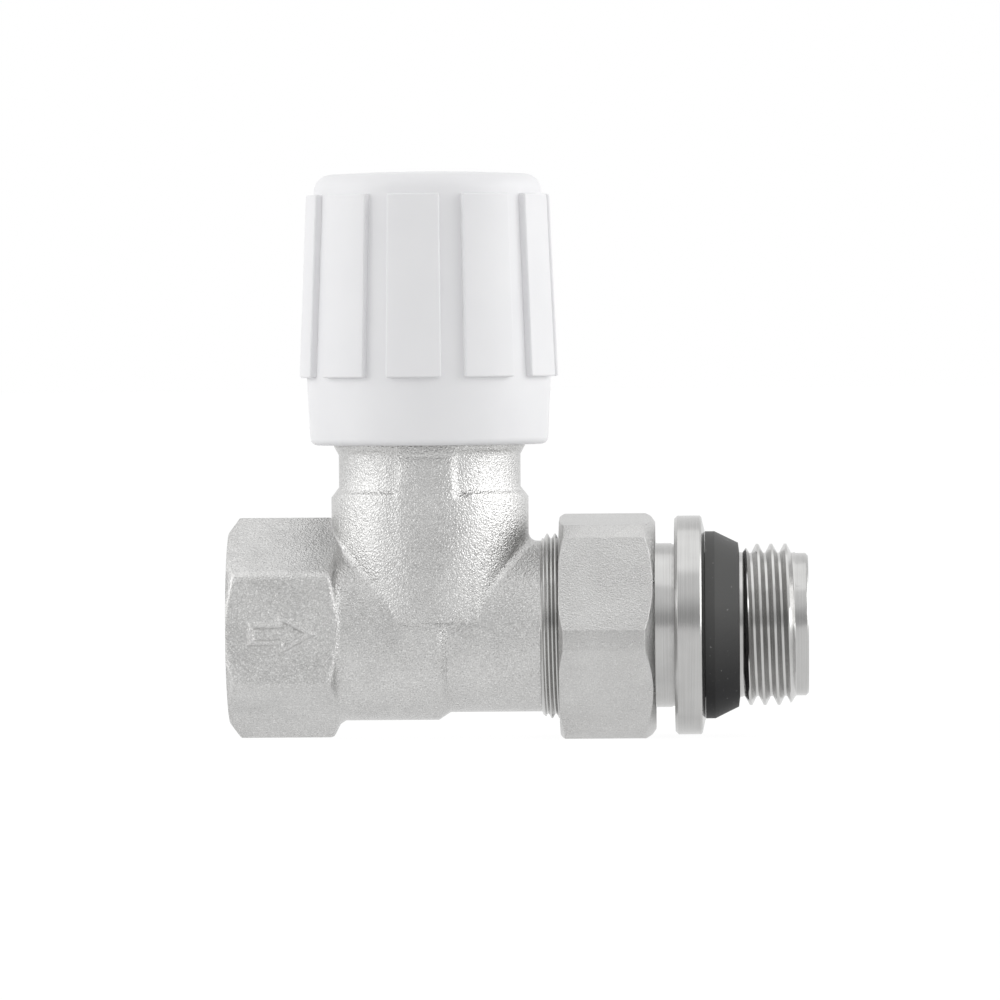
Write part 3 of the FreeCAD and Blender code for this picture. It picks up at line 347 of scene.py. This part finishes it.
def relief(board, height, depth, edge=0.0):
    """Raises the surface by a height times a depth and rounds its edges, in millimetres."""
    sockets = {"Distance": depth * MM, "Height": height}
    if edge > 0.0:
        sockets["Normal"] = board.node("ShaderNodeBevel", {"samples": 6}, {"Radius": edge * MM})
    board.feed(board.shader.inputs["Normal"], board.node("ShaderNodeBump", {}, sockets))


print("finishes can be painted")

# %% [markdown]
# The body is a brass forging that is blasted with fine shot and then plated with nickel. The
# shot leaves tiny round dents that lie close together, so the metal is dull. Small cells give
# the dents and a slower noise gives the uneven plating. Single grains get painted glints: the
# few highest peaks of a fine noise are coloured brighter than the light tone.

# %% Blasted nickel
BODY_TONES = ((0.40, 0.397, 0.392), (0.70, 0.698, 0.69))
NUT_TONES = ((0.42, 0.417, 0.412), (0.62, 0.618, 0.611))
PLATING_SPOT = 5.0
FINE_SHARE = 0.6
# Noise levels and strength of the painted glints on single grains.
GLINT_START, GLINT_FULL, GLINT_STRENGTH = 0.66, 0.78, 0.22


def blasted_nickel(name, tones, roughness, grain, depth, edge):
    """Shot-blasted nickel plate with dents of so many millimetres, painted glints and worn
    edges.
    """
    board = new_finish(name, Metallic=1.0)
    dents = board.node("ShaderNodeTexVoronoi", {}, {
        "Vector": board.spot, "Scale": 1.0 / (grain * MM)}, "Distance")
    fine = noise(board, grain * FINE_SHARE, 1.0)
    glint_peaks = noise(board, grain * FINE_SHARE, 0.0)
    # Painted glints: the highest peaks of a fine noise are coloured past the light tone.
    painted_glints = board.ramp(glint_peaks, GLINT_START, GLINT_FULL, GLINT_STRENGTH)
    plating = strong(noise(board, PLATING_SPOT, 3.0), 1.8)
    paint(board, strong(fine, 3.0) * 0.5 + plating * 0.35 + dents * 0.2 + painted_glints, tones)
    vary_roughness(board, plating, roughness)
    relief(board, dents * 0.5 + fine, depth, edge)
    return board.material


body_nickel = blasted_nickel("blasted_nickel", BODY_TONES, (0.26, 0.36),
                             grain=0.3, depth=0.105, edge=0.45)
nut_nickel = blasted_nickel("fine_blasted_nickel", NUT_TONES, (0.26, 0.34),
                            grain=0.25, depth=0.07, edge=0.2)
print("blasted nickel:", body_nickel.name, nut_nickel.name)

# %% [markdown]
# Turned metal shows the marks of the cutting tool: very fine rings round the piece's own axis.
# A noise that is stretched so far that it changes only along the axis gives those rings. Pieces
# on the pipe turn about x, and pieces on the stem about z.

# %% Turned metal
TAIL_TONES = ((0.37, 0.368, 0.363), (0.57, 0.568, 0.561))
THREAD_TONES = ((0.38, 0.377, 0.372), (0.66, 0.658, 0.65))
BRASS_TONES = ((0.56, 0.41, 0.17), (0.80, 0.63, 0.33))
STEEL_TONES = ((0.42, 0.42, 0.43), (0.66, 0.66, 0.67))
STRETCH = {"x": (1.0, 0.004, 0.004), "z": (0.004, 0.004, 1.0)}
MARK_WIDTH = 0.07
MARK_DEPTH = 0.004


def turned_metal(name, axis, tones, roughness, edge=0.0):
    """Turned metal with tool marks round the x or the z axis."""
    board = new_finish(name, Metallic=1.0)
    stretched = board.node("ShaderNodeVectorMath", {"operation": "MULTIPLY"}, {
        0: board.spot, 1: STRETCH[axis]})
    marks = noise(board, MARK_WIDTH, 3.0, stretched)
    plating = strong(noise(board, PLATING_SPOT), 1.8)
    paint(board, strong(marks, 1.4) * 0.6 + plating * 0.4, tones)
    vary_roughness(board, strong(marks, 2.0), roughness)
    relief(board, marks, MARK_DEPTH, edge)
    return board.material


tail_nickel = turned_metal("turned_nickel", "x", TAIL_TONES, (0.17, 0.27), edge=0.15)
thread_nickel = turned_metal("threaded_nickel", "x", THREAD_TONES, (0.18, 0.28))
stem_brass = turned_metal("turned_brass", "z", BRASS_TONES, (0.2, 0.34))
clip_steel = turned_metal("bright_steel", "z", STEEL_TONES, (0.22, 0.34))
print("turned metals:", tail_nickel.name, thread_nickel.name, stem_brass.name, clip_steel.name)

# %% [markdown]
# The handwheel is moulded from white plastic with a satin shine. Moulded plastic is never quite
# even: its colour varies a little over centimetres, and a faint orange-peel texture from the
# mould softens its reflections.

# %% White plastic
WHEEL_TONES = ((0.80, 0.80, 0.815), (0.86, 0.86, 0.87))
WASHER_TONES = ((0.80, 0.79, 0.76), (0.88, 0.87, 0.84))
PEEL_WIDTH = 0.5
SHADE_WIDTH = 9.0


def moulded_plastic(name, tones, roughness, peel):
    """Moulded plastic with an orange-peel texture so many millimetres deep."""
    board = new_finish(name, Specular_IOR_Level=0.22)
    texture = noise(board, PEEL_WIDTH)
    paint(board, noise(board, SHADE_WIDTH), tones)
    vary_roughness(board, texture, roughness)
    relief(board, texture, peel)
    return board.material


wheel_plastic = moulded_plastic("white_plastic", WHEEL_TONES, (0.30, 0.42), 0.006)
washer_plastic = moulded_plastic("slip_plastic", WASHER_TONES, (0.4, 0.55), 0.004)
print("plastics:", wheel_plastic.name, washer_plastic.name)

# %% [markdown]
# Rubber is nearly black and dull, with a fine grain from its mould, and it always picks up some
# pale dust. Single specks are a noise of which only the highest peaks are kept. The colour is
# also painted lighter towards the top, as light from above: it grows from nothing low on the
# ring to its full strength a little above the pipe's axis.

# %% Rubber
RUBBER_TONES = ((0.018, 0.018, 0.019), (0.42, 0.42, 0.41))
# Heights in millimetres and strength of the painted light from above, which makes the rubber
# lighter towards the top.
TOP_LIGHT_START, TOP_LIGHT_FULL, TOP_LIGHT_STRENGTH = -9.0, 3.0, 0.36
SPECK_START, SPECK_FULL = 0.74, 0.82


def moulded_rubber(name, dust_and_top_light):
    """Black rubber with a fine grain, a few specks of dust and a painted lighter top."""
    board = new_finish(name, Specular_IOR_Level=0.12)
    grain = noise(board, 0.25, 3.0)
    specks = board.ramp(noise(board, 0.45, 1.0), SPECK_START, SPECK_FULL, dust_and_top_light)
    height = board.axis(board.spot, "Z")
    # Painted light from above: the colour grows lighter from low on the ring to a little above
    # the axis.
    painted_top_light = board.ramp(height, TOP_LIGHT_START * MM, TOP_LIGHT_FULL * MM, dust_and_top_light * TOP_LIGHT_STRENGTH)
    paint(board, grain * 0.02 + painted_top_light + specks, RUBBER_TONES)
    vary_roughness(board, grain, (0.4, 0.6))
    relief(board, grain, 0.012)
    return board.material


ring_rubber = moulded_rubber("black_rubber", 0.5)
seal_rubber = moulded_rubber("seal_rubber", 0.1)
print("rubbers:", ring_rubber.name, seal_rubber.name)

# %% [markdown]
# ## Pieces
#
# A threaded piece starts from the mesh of its CAD node, whose loose triangles are merged first.
# The plain tube that stands for the thread is taken out, the rolled thread is set in the gap,
# and a narrow band of faces joins it to the rims on both sides, so that the skin stays closed.

# %% Cutting and joining skins
def merged_copy(name):
    """The mesh of a CAD node as one connected skin, ready to be changed."""
    skin = bmesh.new()
    skin.from_mesh(nodes[name].data)
    for face in skin.faces:
        face.material_index = 0
    bmesh.ops.remove_doubles(skin, verts=skin.verts, dist=0.0001 * MM)
    return skin


def cut_out(skin, is_gone):
    """Takes out the faces whose corners all pass a test, and returns how many there were."""
    gone = [face for face in skin.faces if all(is_gone(corner.co / MM) for corner in face.verts)]
    bmesh.ops.delete(skin, geom=gone, context="FACES")
    return len(gone)


def open_rims(skin):
    """The open edges of a skin as closed rims, each after its middle in millimetres."""
    waiting = {edge for edge in skin.edges if edge.is_boundary}
    rims = []
    while waiting:
        rim, front = [], [waiting.pop()]
        while front:
            edge = front.pop()
            rim.append(edge)
            near = {other for corner in edge.verts for other in corner.link_edges} & waiting
            waiting -= near
            front.extend(near)
        corners = {corner for edge in rim for corner in edge.verts}
        middle = sum((corner.co for corner in corners), Vector()) / len(corners) / MM
        rims.append((middle, rim))
    return rims


def join_rims(skin, *places):
    """Joins, with a band of faces, the two open rims whose middles are nearest each place."""
    for place in places:
        rims = sorted(open_rims(skin), key=lambda item: (item[0] - Vector(place)).length)
        bmesh.ops.bridge_loops(skin, edges=rims[0][1] + rims[1][1])


def open_edges(skin):
    """How many edges of a skin are still open."""
    return sum(edge.is_boundary for edge in skin.edges)


print("skins can be cut and joined")

# %% [markdown]
# A finished skin becomes an object. It is shaded smooth except at its sharp edges. Flat faces
# beside a small rounding would look pillowed if every corner took the average of its faces, so
# the corners' normals are weighed by the size of the faces.

# %% Finishing a skin
SHARP_ANGLE = math.radians(22.0)


def finish_skin(name, skin, materials):
    """A new object from a skin, smooth except at its sharp edges."""
    mesh = bpy.data.meshes.new(name)
    skin.to_mesh(mesh)
    skin.free()
    for material in materials:
        mesh.materials.append(material)
    mesh.shade_smooth()
    mesh.set_sharp_from_angle(angle=SHARP_ANGLE)
    piece = add_object(name, mesh)
    weighing = piece.modifiers.new("even_shading", "WEIGHTED_NORMAL")
    weighing.keep_sharp = True
    graph = bpy.context.evaluated_depsgraph_get()
    shaded = bpy.data.meshes.new_from_object(piece.evaluated_get(graph), depsgraph=graph)
    piece.modifiers.clear()
    piece.data = shaded
    bpy.data.meshes.remove(mesh)
    shaded.name = name
    print(name, "faces:", len(shaded.polygons))
    return piece


print("skins can be finished")

# %% [markdown]
# The plain tube of a thread is found by its distance from the pipe's axis. The tube reaches a
# tenth of a millimetre past the new thread at both ends, and the band of faces that joins them
# fills that gap.

# %% Setting a thread
THREAD_SIDES = 96
REACH = 0.11


def pipe_radius(spot):
    """A point's distance from the pipe's axis."""
    return math.hypot(spot.y, spot.z)


def set_thread(skin, kind, start, end, crest_place, run_out, is_wall):
    """Cuts out a plain tube and sets a rolled thread into the gap."""
    gone = cut_out(skin, lambda spot: (
        start - REACH < spot.x < end + REACH and is_wall(pipe_radius(spot))))
    rolled_mesh = run_tree(thread_tree, {
        **kind, "Start": start, "End": end, "Crest Place": crest_place, "Run Out": run_out,
        "Sides": THREAD_SIDES, "Material": thread_nickel})
    before = set(skin.faces)
    skin.from_mesh(rolled_mesh)
    join_rims(skin, (start, 0.0, 0.0), (end, 0.0, 0.0))
    made = set(skin.faces) - before
    for face in made:
        face.material_index = 1
    bpy.data.meshes.remove(rolled_mesh)
    print("thread from", start, "to", end, "faces out:", gone, "in:", len(made))


print("threads can be set")

# %% [markdown]
# The body has two threads: the outer one that the union nut runs on, and the inner one for the
# pipe. The crest's place is where a crest crosses the far side of the pipe, and was read from
# the crests in the photograph. UNION_WALL is a radius that only the tube for the union thread
# passes.

# %% Body and its threads
UNION_WALL = 11.05
body_skin = merged_copy("valve_body")
set_thread(body_skin, UNION_THREAD, start=40.6, end=49.3, crest_place=0.04, run_out=0.6,
           is_wall=lambda radius: radius > UNION_WALL)
set_thread(body_skin, PIPE_THREAD, start=1.0, end=11.3, crest_place=0.9, run_out=0.7,
           is_wall=lambda radius: abs(radius - PIPE_THREAD["Root Radius"]) < 0.01)
bmesh.ops.recalc_face_normals(body_skin, faces=body_skin.faces)
print("open edges left:", open_edges(body_skin))

# %% [markdown]
# The arrow's wall and the handwheel's shell are bands of faces between rings of corners. The
# forged pad and a rib of the handwheel are slabs that are bent round an upright line. One helper
# draws the bands and one the slabs.

# %% Bands and slabs
def join_rings(skin, rings):
    """Faces between each ring of corners and the next one."""
    for ring, following in zip(rings, rings[1:]):
        for index in range(len(ring)):
            after = (index + 1) % len(ring)
            skin.faces.new((ring[index], ring[after], following[after], following[index]))


def fan(half_angle, steps):
    """The angles of a slab's columns, in radians, from one side to the other."""
    return [math.radians(half_angle * (2.0 * step / steps - 1.0)) for step in range(steps + 1)]


def add_slab(skin, spots):
    """A bent slab from its columns of corners, which are given in millimetres."""
    columns = [[skin.verts.new(spot * MM) for spot in column] for column in spots]
    for one, other in zip(columns, columns[1:]):
        for index in range(len(one)):
            after = (index + 1) % len(one)
            skin.faces.new((one[index], other[index], other[after], one[after]))
    skin.faces.new(columns[0])
    skin.faces.new(columns[-1][::-1])
    return columns


print("bands and slabs can be drawn")

# %% [markdown]
# A raised arrow on the front flat of the hexagon shows the direction of the flow. It is a thin
# wall that follows the arrow's outline, part of the same forging. Its corners are mitred: each
# corner is moved along the middle of its two sides, which keeps the wall equally thick.

# %% Flow arrow
ARROW = [(3.35, -1.55), (7.15, -1.55), (7.15, -2.55), (11.0, -0.45), (7.15, 1.65),
         (7.15, 0.65), (3.35, 0.65)]
ARROW_LEVEL = -12.5
ARROW_HEIGHT = 0.4
ARROW_SUNK = -0.05
ARROW_HALF_FOOT, ARROW_HALF_TOP = 0.42, 0.2


def mitred(outline, distance):
    """An outline moved outwards by a distance, with its corners mitred."""
    moved = []
    for index, corner in enumerate(outline):
        here = Vector(corner)
        before = (here - Vector(outline[index - 1])).normalized()
        after = (Vector(outline[(index + 1) % len(outline)]) - here).normalized()
        side = Vector((before.y, -before.x))
        other = Vector((after.y, -after.x))
        moved.append(here + (side + other) * (distance / (1.0 + side.dot(other))))
    return moved


def add_arrow(skin):
    """The arrow's wall, which stands on a plane that faces the camera."""
    rings = []
    for distance, rise in ((ARROW_HALF_FOOT, ARROW_SUNK), (ARROW_HALF_TOP, ARROW_HEIGHT),
                           (-ARROW_HALF_TOP, ARROW_HEIGHT), (-ARROW_HALF_FOOT, ARROW_SUNK)):
        rings.append([skin.verts.new(Vector((spot.x, ARROW_LEVEL - rise, spot.y)) * MM)
                      for spot in mitred(ARROW, distance)])
    join_rings(skin, rings + rings[:1])
    ridge = {corner for ring in rings[1:3] for corner in ring}
    tops = [edge for edge in skin.edges if set(edge.verts) <= ridge]
    bmesh.ops.bevel(skin, geom=tops, offset=0.08 * MM, segments=2, profile=0.5, affect="EDGES")


print("arrow corners:", len(ARROW))

# %% [markdown]
# The forged pad on the front of the neck runs up under the handwheel. The CAD model's pad ends
# a little below it, so a thin bent slab carries it on, and its top end is out of sight.

# %% Arrow and pad on the body
PAD_SECTION = ((11.5, 22.4), (12.8, 22.4), (12.8, 25.9), (11.5, 25.9))
PAD_HALF_ANGLE = 17.0
PAD_STEPS = 10
pad_spots = [
    [Vector((STEM + across * math.sin(angle), -across * math.cos(angle), up))
     for across, up in PAD_SECTION] for angle in fan(PAD_HALF_ANGLE, PAD_STEPS)]
relief_skin = bmesh.new()
add_slab(relief_skin, pad_spots)
add_arrow(relief_skin)
bmesh.ops.recalc_face_normals(relief_skin, faces=relief_skin.faces)
relief_mesh = bpy.data.meshes.new("relief")
relief_skin.to_mesh(relief_mesh)
body_skin.from_mesh(relief_mesh)
valve_body = finish_skin("valve_body_forging", body_skin, [body_nickel, thread_nickel])
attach(valve_body, "valve")
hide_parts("valve_body")

# %% [markdown]
# The tailpiece screws into the radiator. Its thread is the standard half-inch pipe thread, with
# a plain pilot in front that helps it to start straight. TAIL_WALL is a radius that only the
# tube for the thread passes.

# %% Tailpiece and its thread
TAIL_WALL = 9.24
tail_skin = merged_copy("tailpiece")
set_thread(tail_skin, PIPE_THREAD, start=66.6, end=73.4, crest_place=68.07, run_out=0.75,
           is_wall=lambda radius: radius > TAIL_WALL)
bmesh.ops.recalc_face_normals(tail_skin, faces=tail_skin.faces)
print("open edges left:", open_edges(tail_skin))
tailpiece = finish_skin("tailpiece_turned", tail_skin, [tail_nickel, thread_nickel])
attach(tailpiece, "tailpiece")
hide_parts("tailpiece")

# %% [markdown]
# The handwheel is one hollow moulding. Its inside is taken from the CAD node. Its outside is
# drawn anew as a shell that is turned about the stem, because a moulding has soft edges that
# catch the light. The profile is a list of corners, each with its own rounding.

# %% Handwheel's profile
WHEEL = [(13.6, 23.7, 0.0), (15.4, 23.7, 0.9), (15.85, 32.45, 0.0), (14.7, 58.65, 2.2),
         (7.15, 59.0, 0.0)]
ROUNDING_STEPS = 7


def rounded_profile(corners):
    """The points of a profile (across, up, rounding) with its corners rounded off."""
    points = []
    for index, (across, up, rounding) in enumerate(corners):
        here = Vector((across, up))
        if rounding == 0.0:
            points.append(here)
            continue
        back = (Vector(corners[index - 1][:2]) - here).normalized()
        ahead = (Vector(corners[index + 1][:2]) - here).normalized()
        half = back.angle(ahead) / 2.0
        middle = here + (back + ahead).normalized() * (rounding / math.sin(half))
        start = here + back * (rounding / math.tan(half)) - middle
        end = here + ahead * (rounding / math.tan(half)) - middle
        for step in range(ROUNDING_STEPS + 1):
            blend = start.lerp(end, step / ROUNDING_STEPS).normalized() * rounding
            points.append(middle + blend)
    return points


profile = rounded_profile(WHEEL)
print("profile points:", len(profile))

# %% [markdown]
# The outer faces of the CAD node are taken out first. They lie further from the stem than the
# wall's inside, or on the crown round the hole for the cap. Then the turned shell is joined to
# the two rims that are left.

# %% Handwheel's shell
WHEEL_SIDES = 144
INNER_WALL = 13.49
CROWN, CAP_HOLE = 58.0, 7.04


def turn_about_stem(skin, profile):
    """Turns a profile about the stem's line and adds it to a skin."""
    rings = []
    for point in profile:
        angles = [2.0 * math.pi * side / WHEEL_SIDES for side in range(WHEEL_SIDES)]
        spots = [Vector((STEM + point.x * math.cos(angle), point.x * math.sin(angle), point.y))
                 for angle in angles]
        rings.append([skin.verts.new(spot * MM) for spot in spots])
    join_rings(skin, rings)


def is_outside(spot):
    """Whether a point of the CAD node lies on the handwheel's outside."""
    radius = math.hypot(spot.x - STEM, spot.y)
    return radius > INNER_WALL or (spot.z > CROWN and radius > CAP_HOLE)


wheel_skin = merged_copy("handwheel")
gone = cut_out(wheel_skin, is_outside)
turn_about_stem(wheel_skin, profile)
join_rims(wheel_skin, (STEM, 0.0, profile[0].y), (STEM, 0.0, profile[-1].y))
bmesh.ops.recalc_face_normals(wheel_skin, faces=wheel_skin.faces)
print("handwheel shell, faces out:", gone, "open edges left:", open_edges(wheel_skin))

# %% [markdown]
# Ten broad ribs give the fingers a hold. One rib is drawn as a bent slab round the z axis and
# its outer edges are bevelled.

# %% One rib
RIB_SECTION = ((15.4, 32.45), (16.8, 32.45), (15.8, 56.1), (14.3, 56.1))
RIB_HALF_ANGLE = 12.5
RIB_STEPS = 8
RIB_ROUNDING = 0.28
SHARP_TURN = 0.7


def rib_mesh():
    """One rib, drawn round the z axis, with soft outer edges."""
    spots = []
    for angle in fan(RIB_HALF_ANGLE, RIB_STEPS):
        towards = Vector((math.cos(angle), math.sin(angle), 0.0))
        spots.append([towards * across + Vector((0.0, 0.0, up)) for across, up in RIB_SECTION])
    skin = bmesh.new()
    columns = add_slab(skin, spots)
    bmesh.ops.recalc_face_normals(skin, faces=skin.faces)
    outer = {corner for column in columns for corner in column[1:3]}
    soft = [edge for edge in skin.edges
            if set(edge.verts) & outer and edge.calc_face_angle(0.0) > SHARP_TURN]
    bmesh.ops.bevel(skin, geom=soft, offset=RIB_ROUNDING * MM, segments=3, profile=0.5,
                    affect="EDGES")
    mesh = bpy.data.meshes.new("rib")
    skin.to_mesh(mesh)
    skin.free()
    mesh.shade_smooth()
    return mesh


one_rib = rib_mesh()
print("one rib's faces:", len(one_rib.polygons))

# %% [markdown]
# Then Geometry Nodes repeat the rib round the stem: one point for each rib, all on the stem's
# line, and the rib is placed on each point turned a little further. A tree does this better
# than copies, because the count and the first angle stay two plain numbers.

# %% Rib tree
RIB_COUNT = 10
FIRST_RIB = math.radians(12.8)
rib_board, size = new_geometry_tree("ribs_round_the_stem", {
    "Rib": "Geometry", "Count": "Int", "First Angle": "Float", "Stem Place": "Vector",
    "Material": "Material"})
points = rib_board.node("GeometryNodePoints", {}, {
    "Count": size["Count"], "Position": size["Stem Place"]})
number = rib_board.node("GeometryNodeInputIndex")
angle = size["First Angle"] + number * (2.0 * math.pi) / size["Count"]
rotation = rib_board.node("FunctionNodeAxisAngleToRotation", {}, {
    "Axis": (0.0, 0.0, 1.0), "Angle": angle})
placed = rib_board.node("GeometryNodeInstanceOnPoints", {}, {
    "Points": points, "Instance": size["Rib"], "Rotation": rotation})
rib_tree = close_geometry_tree(rib_board, placed, size["Material"])
ribs = run_tree(rib_tree, {
    "Count": RIB_COUNT, "First Angle": FIRST_RIB, "Stem Place": (STEM * MM, 0.0, 0.0),
    "Material": wheel_plastic}, one_rib)
print("faces of all ribs:", len(ribs.polygons))

# %% [markdown]
# The ribs' feet stand a little inside the shell, so that no gap shows between them, and both
# are one piece of the same plastic.

# %% Handwheel
wheel_skin.from_mesh(ribs)
for face in wheel_skin.faces:
    face.material_index = 0
handwheel = finish_skin("handwheel_moulding", wheel_skin, [wheel_plastic])
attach(handwheel, "spindle")
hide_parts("handwheel")

# %% [markdown]
# The other pieces keep their CAD shape, which is already exact, and only get their finish.

# %% Finishes of the CAD pieces
FINISHES = {
    stem_brass: ("bonnet", "seal_spacer", "gland_nut", "disc_carrier", "disc_nut", "stem"),
    clip_steel: ("stem_clip", "screw_washer", "handwheel_screw"),
    washer_plastic: ("gland_washer",),
    wheel_plastic: ("handwheel_cap",),
    seal_rubber: ("bonnet_o_ring", "lower_stem_o_ring", "upper_stem_o_ring", "disc_seal",
                  "tailpiece_o_ring"),
    ring_rubber: ("sealing_ring",),
    tail_nickel: ("backing_ring",),
    nut_nickel: ("union_nut",),
}
for material, names in FINISHES.items():
    for name in names:
        nodes[name].data.materials.clear()
        nodes[name].data.materials.append(material)
print("CAD pieces with a new finish:", sum(len(names) for names in FINISHES.values()))

# %% [markdown]
# ## Studio
#
# The valve lies on a plain white floor in soft light. The floor looks white to the camera and
# in reflections, and keeps a little of its real shading, so that a faint shadow stays under the
# valve. For the rays that only carry light it is a plain pale sheet.

# %% Floor
FLOOR_PALE = 0.75
FLOOR_GLOW = 1.07
GLOW_SHARE = 0.9
FLOOR_CORNERS = [(-8, -8, 0), (8, -8, 0), (8, 8, 0), (-8, 8, 0)]


def seen_directly(board):
    """1 for the rays that the camera sees, also by a mirror or through glass, or else 0."""
    paths = board.tree.nodes.new("ShaderNodeLightPath")
    rays = [Wire(board, paths.outputs[name])
            for name in ("Is Camera Ray", "Is Glossy Ray", "Is Transmission Ray")]
    return board.clamp(rays[0] + rays[1] + rays[2], 0.0, 1.0)


floor_board = new_finish("floor_paper", Roughness=0.9, Specular_IOR_Level=0.0)
floor_board.shader.inputs["Base Color"].default_value = (FLOOR_PALE, FLOOR_PALE, FLOOR_PALE, 1.0)
glow = floor_board.node("ShaderNodeEmission", {}, {
    "Color": (1.0, 1.0, 1.0, 1.0), "Strength": FLOOR_GLOW})
blend = floor_board.node("ShaderNodeMixShader", {}, {
    0: seen_directly(floor_board) * GLOW_SHARE,
    1: Wire(floor_board, floor_board.shader.outputs[0]),
    2: glow})
floor_board.feed(floor_board.tree.nodes["Material Output"].inputs["Surface"], blend)

floor_mesh = bpy.data.meshes.new("floor")
floor_mesh.from_pydata(FLOOR_CORNERS, [], [(0, 1, 2, 3)])
floor_mesh.materials.append(floor_board.material)
floor = add_object("floor", floor_mesh)
floor.location.z = cad_low.z
print("floor height in millimetres:", round(cad_low.z / MM, 2))

# %% [markdown]
# The world is a white room. Metal only looks like metal where it reflects something darker too:
# in a studio that is the open side where the camera stands, so in reflections the world is
# darker low down at the front. On the right it is brighter, which gives the curved metal its
# bright right flank. The light that only falls on the pieces is weaker from straight above, so
# that the crown of the white handwheel stays below pure white. A direction's coordinates run
# from -1 to 1, and each ramp below fades between two of them.

# %% World
ROOM_LIGHT, OVERHEAD_LOSS = 0.95, 0.6
RIGHT_GAIN, FRONT_LOSS = 0.6, 0.45
world = bpy.data.worlds.new("white_room")
world.use_nodes = True
bpy.context.scene.world = world
world_board = Board(world.node_tree)
background = world.node_tree.nodes["Background"]
background.inputs["Color"].default_value = (1.0, 1.0, 1.0, 1.0)
direction = world_board.node("ShaderNodeTexCoord", {}, {}, "Generated")
sideways = world_board.axis(direction, "X")
depthwise = world_board.axis(direction, "Y")
upwards = world_board.axis(direction, "Z")
open_side = world_board.ramp(depthwise, -0.3, -0.9, shape="SMOOTHSTEP")
low_down = world_board.ramp(upwards, 0.6, 0.2, shape="SMOOTHSTEP")
right_side = world_board.ramp(sideways, 0.6, 0.95, shape="SMOOTHSTEP")
overhead = world_board.ramp(upwards, 0.4, 0.9, shape="SMOOTHSTEP")
mirrored = world_board.node("ShaderNodeLightPath", {}, {}, "Is Glossy Ray")
seen = seen_directly(world_board)
world_board.feed(background.inputs["Strength"],
                 seen + (1.0 - seen) * (ROOM_LIGHT - overhead * OVERHEAD_LOSS)
                 + mirrored * (right_side * RIGHT_GAIN - open_side * low_down * FRONT_LOSS))
print("world nodes:", len(world.node_tree.nodes))

# %% [markdown]
# Three large soft lamps stand above, on the right and on the left. They give the bright flanks
# of the nickel, and their strength is set so that white plastic stays below pure white.

# %% Lamps
# Each lamp has its place and its width in metres, and its power in watts.
LAMPS = {
    "top_lamp": ((0.0, 0.0, 1.1), 1.3, 2.4),
    "right_lamp": ((1.0, -0.05, 0.25), 0.95, 5.0),
    "left_lamp": ((-1.0, -0.15, 0.3), 1.0, 4.6),
}
LAMPS_AIM = Vector((36.0, 0.0, 20.0)) * MM
for name, (place, width, power) in LAMPS.items():
    lamp_data = bpy.data.lights.new(name, "AREA")
    lamp_data.shape = "SQUARE"
    lamp_data.size = width
    lamp_data.energy = power
    look_at(add_object(name, lamp_data), Vector(place), LAMPS_AIM)
bpy.context.scene.view_settings.view_transform = "Standard"
print("lamps:", len(LAMPS))
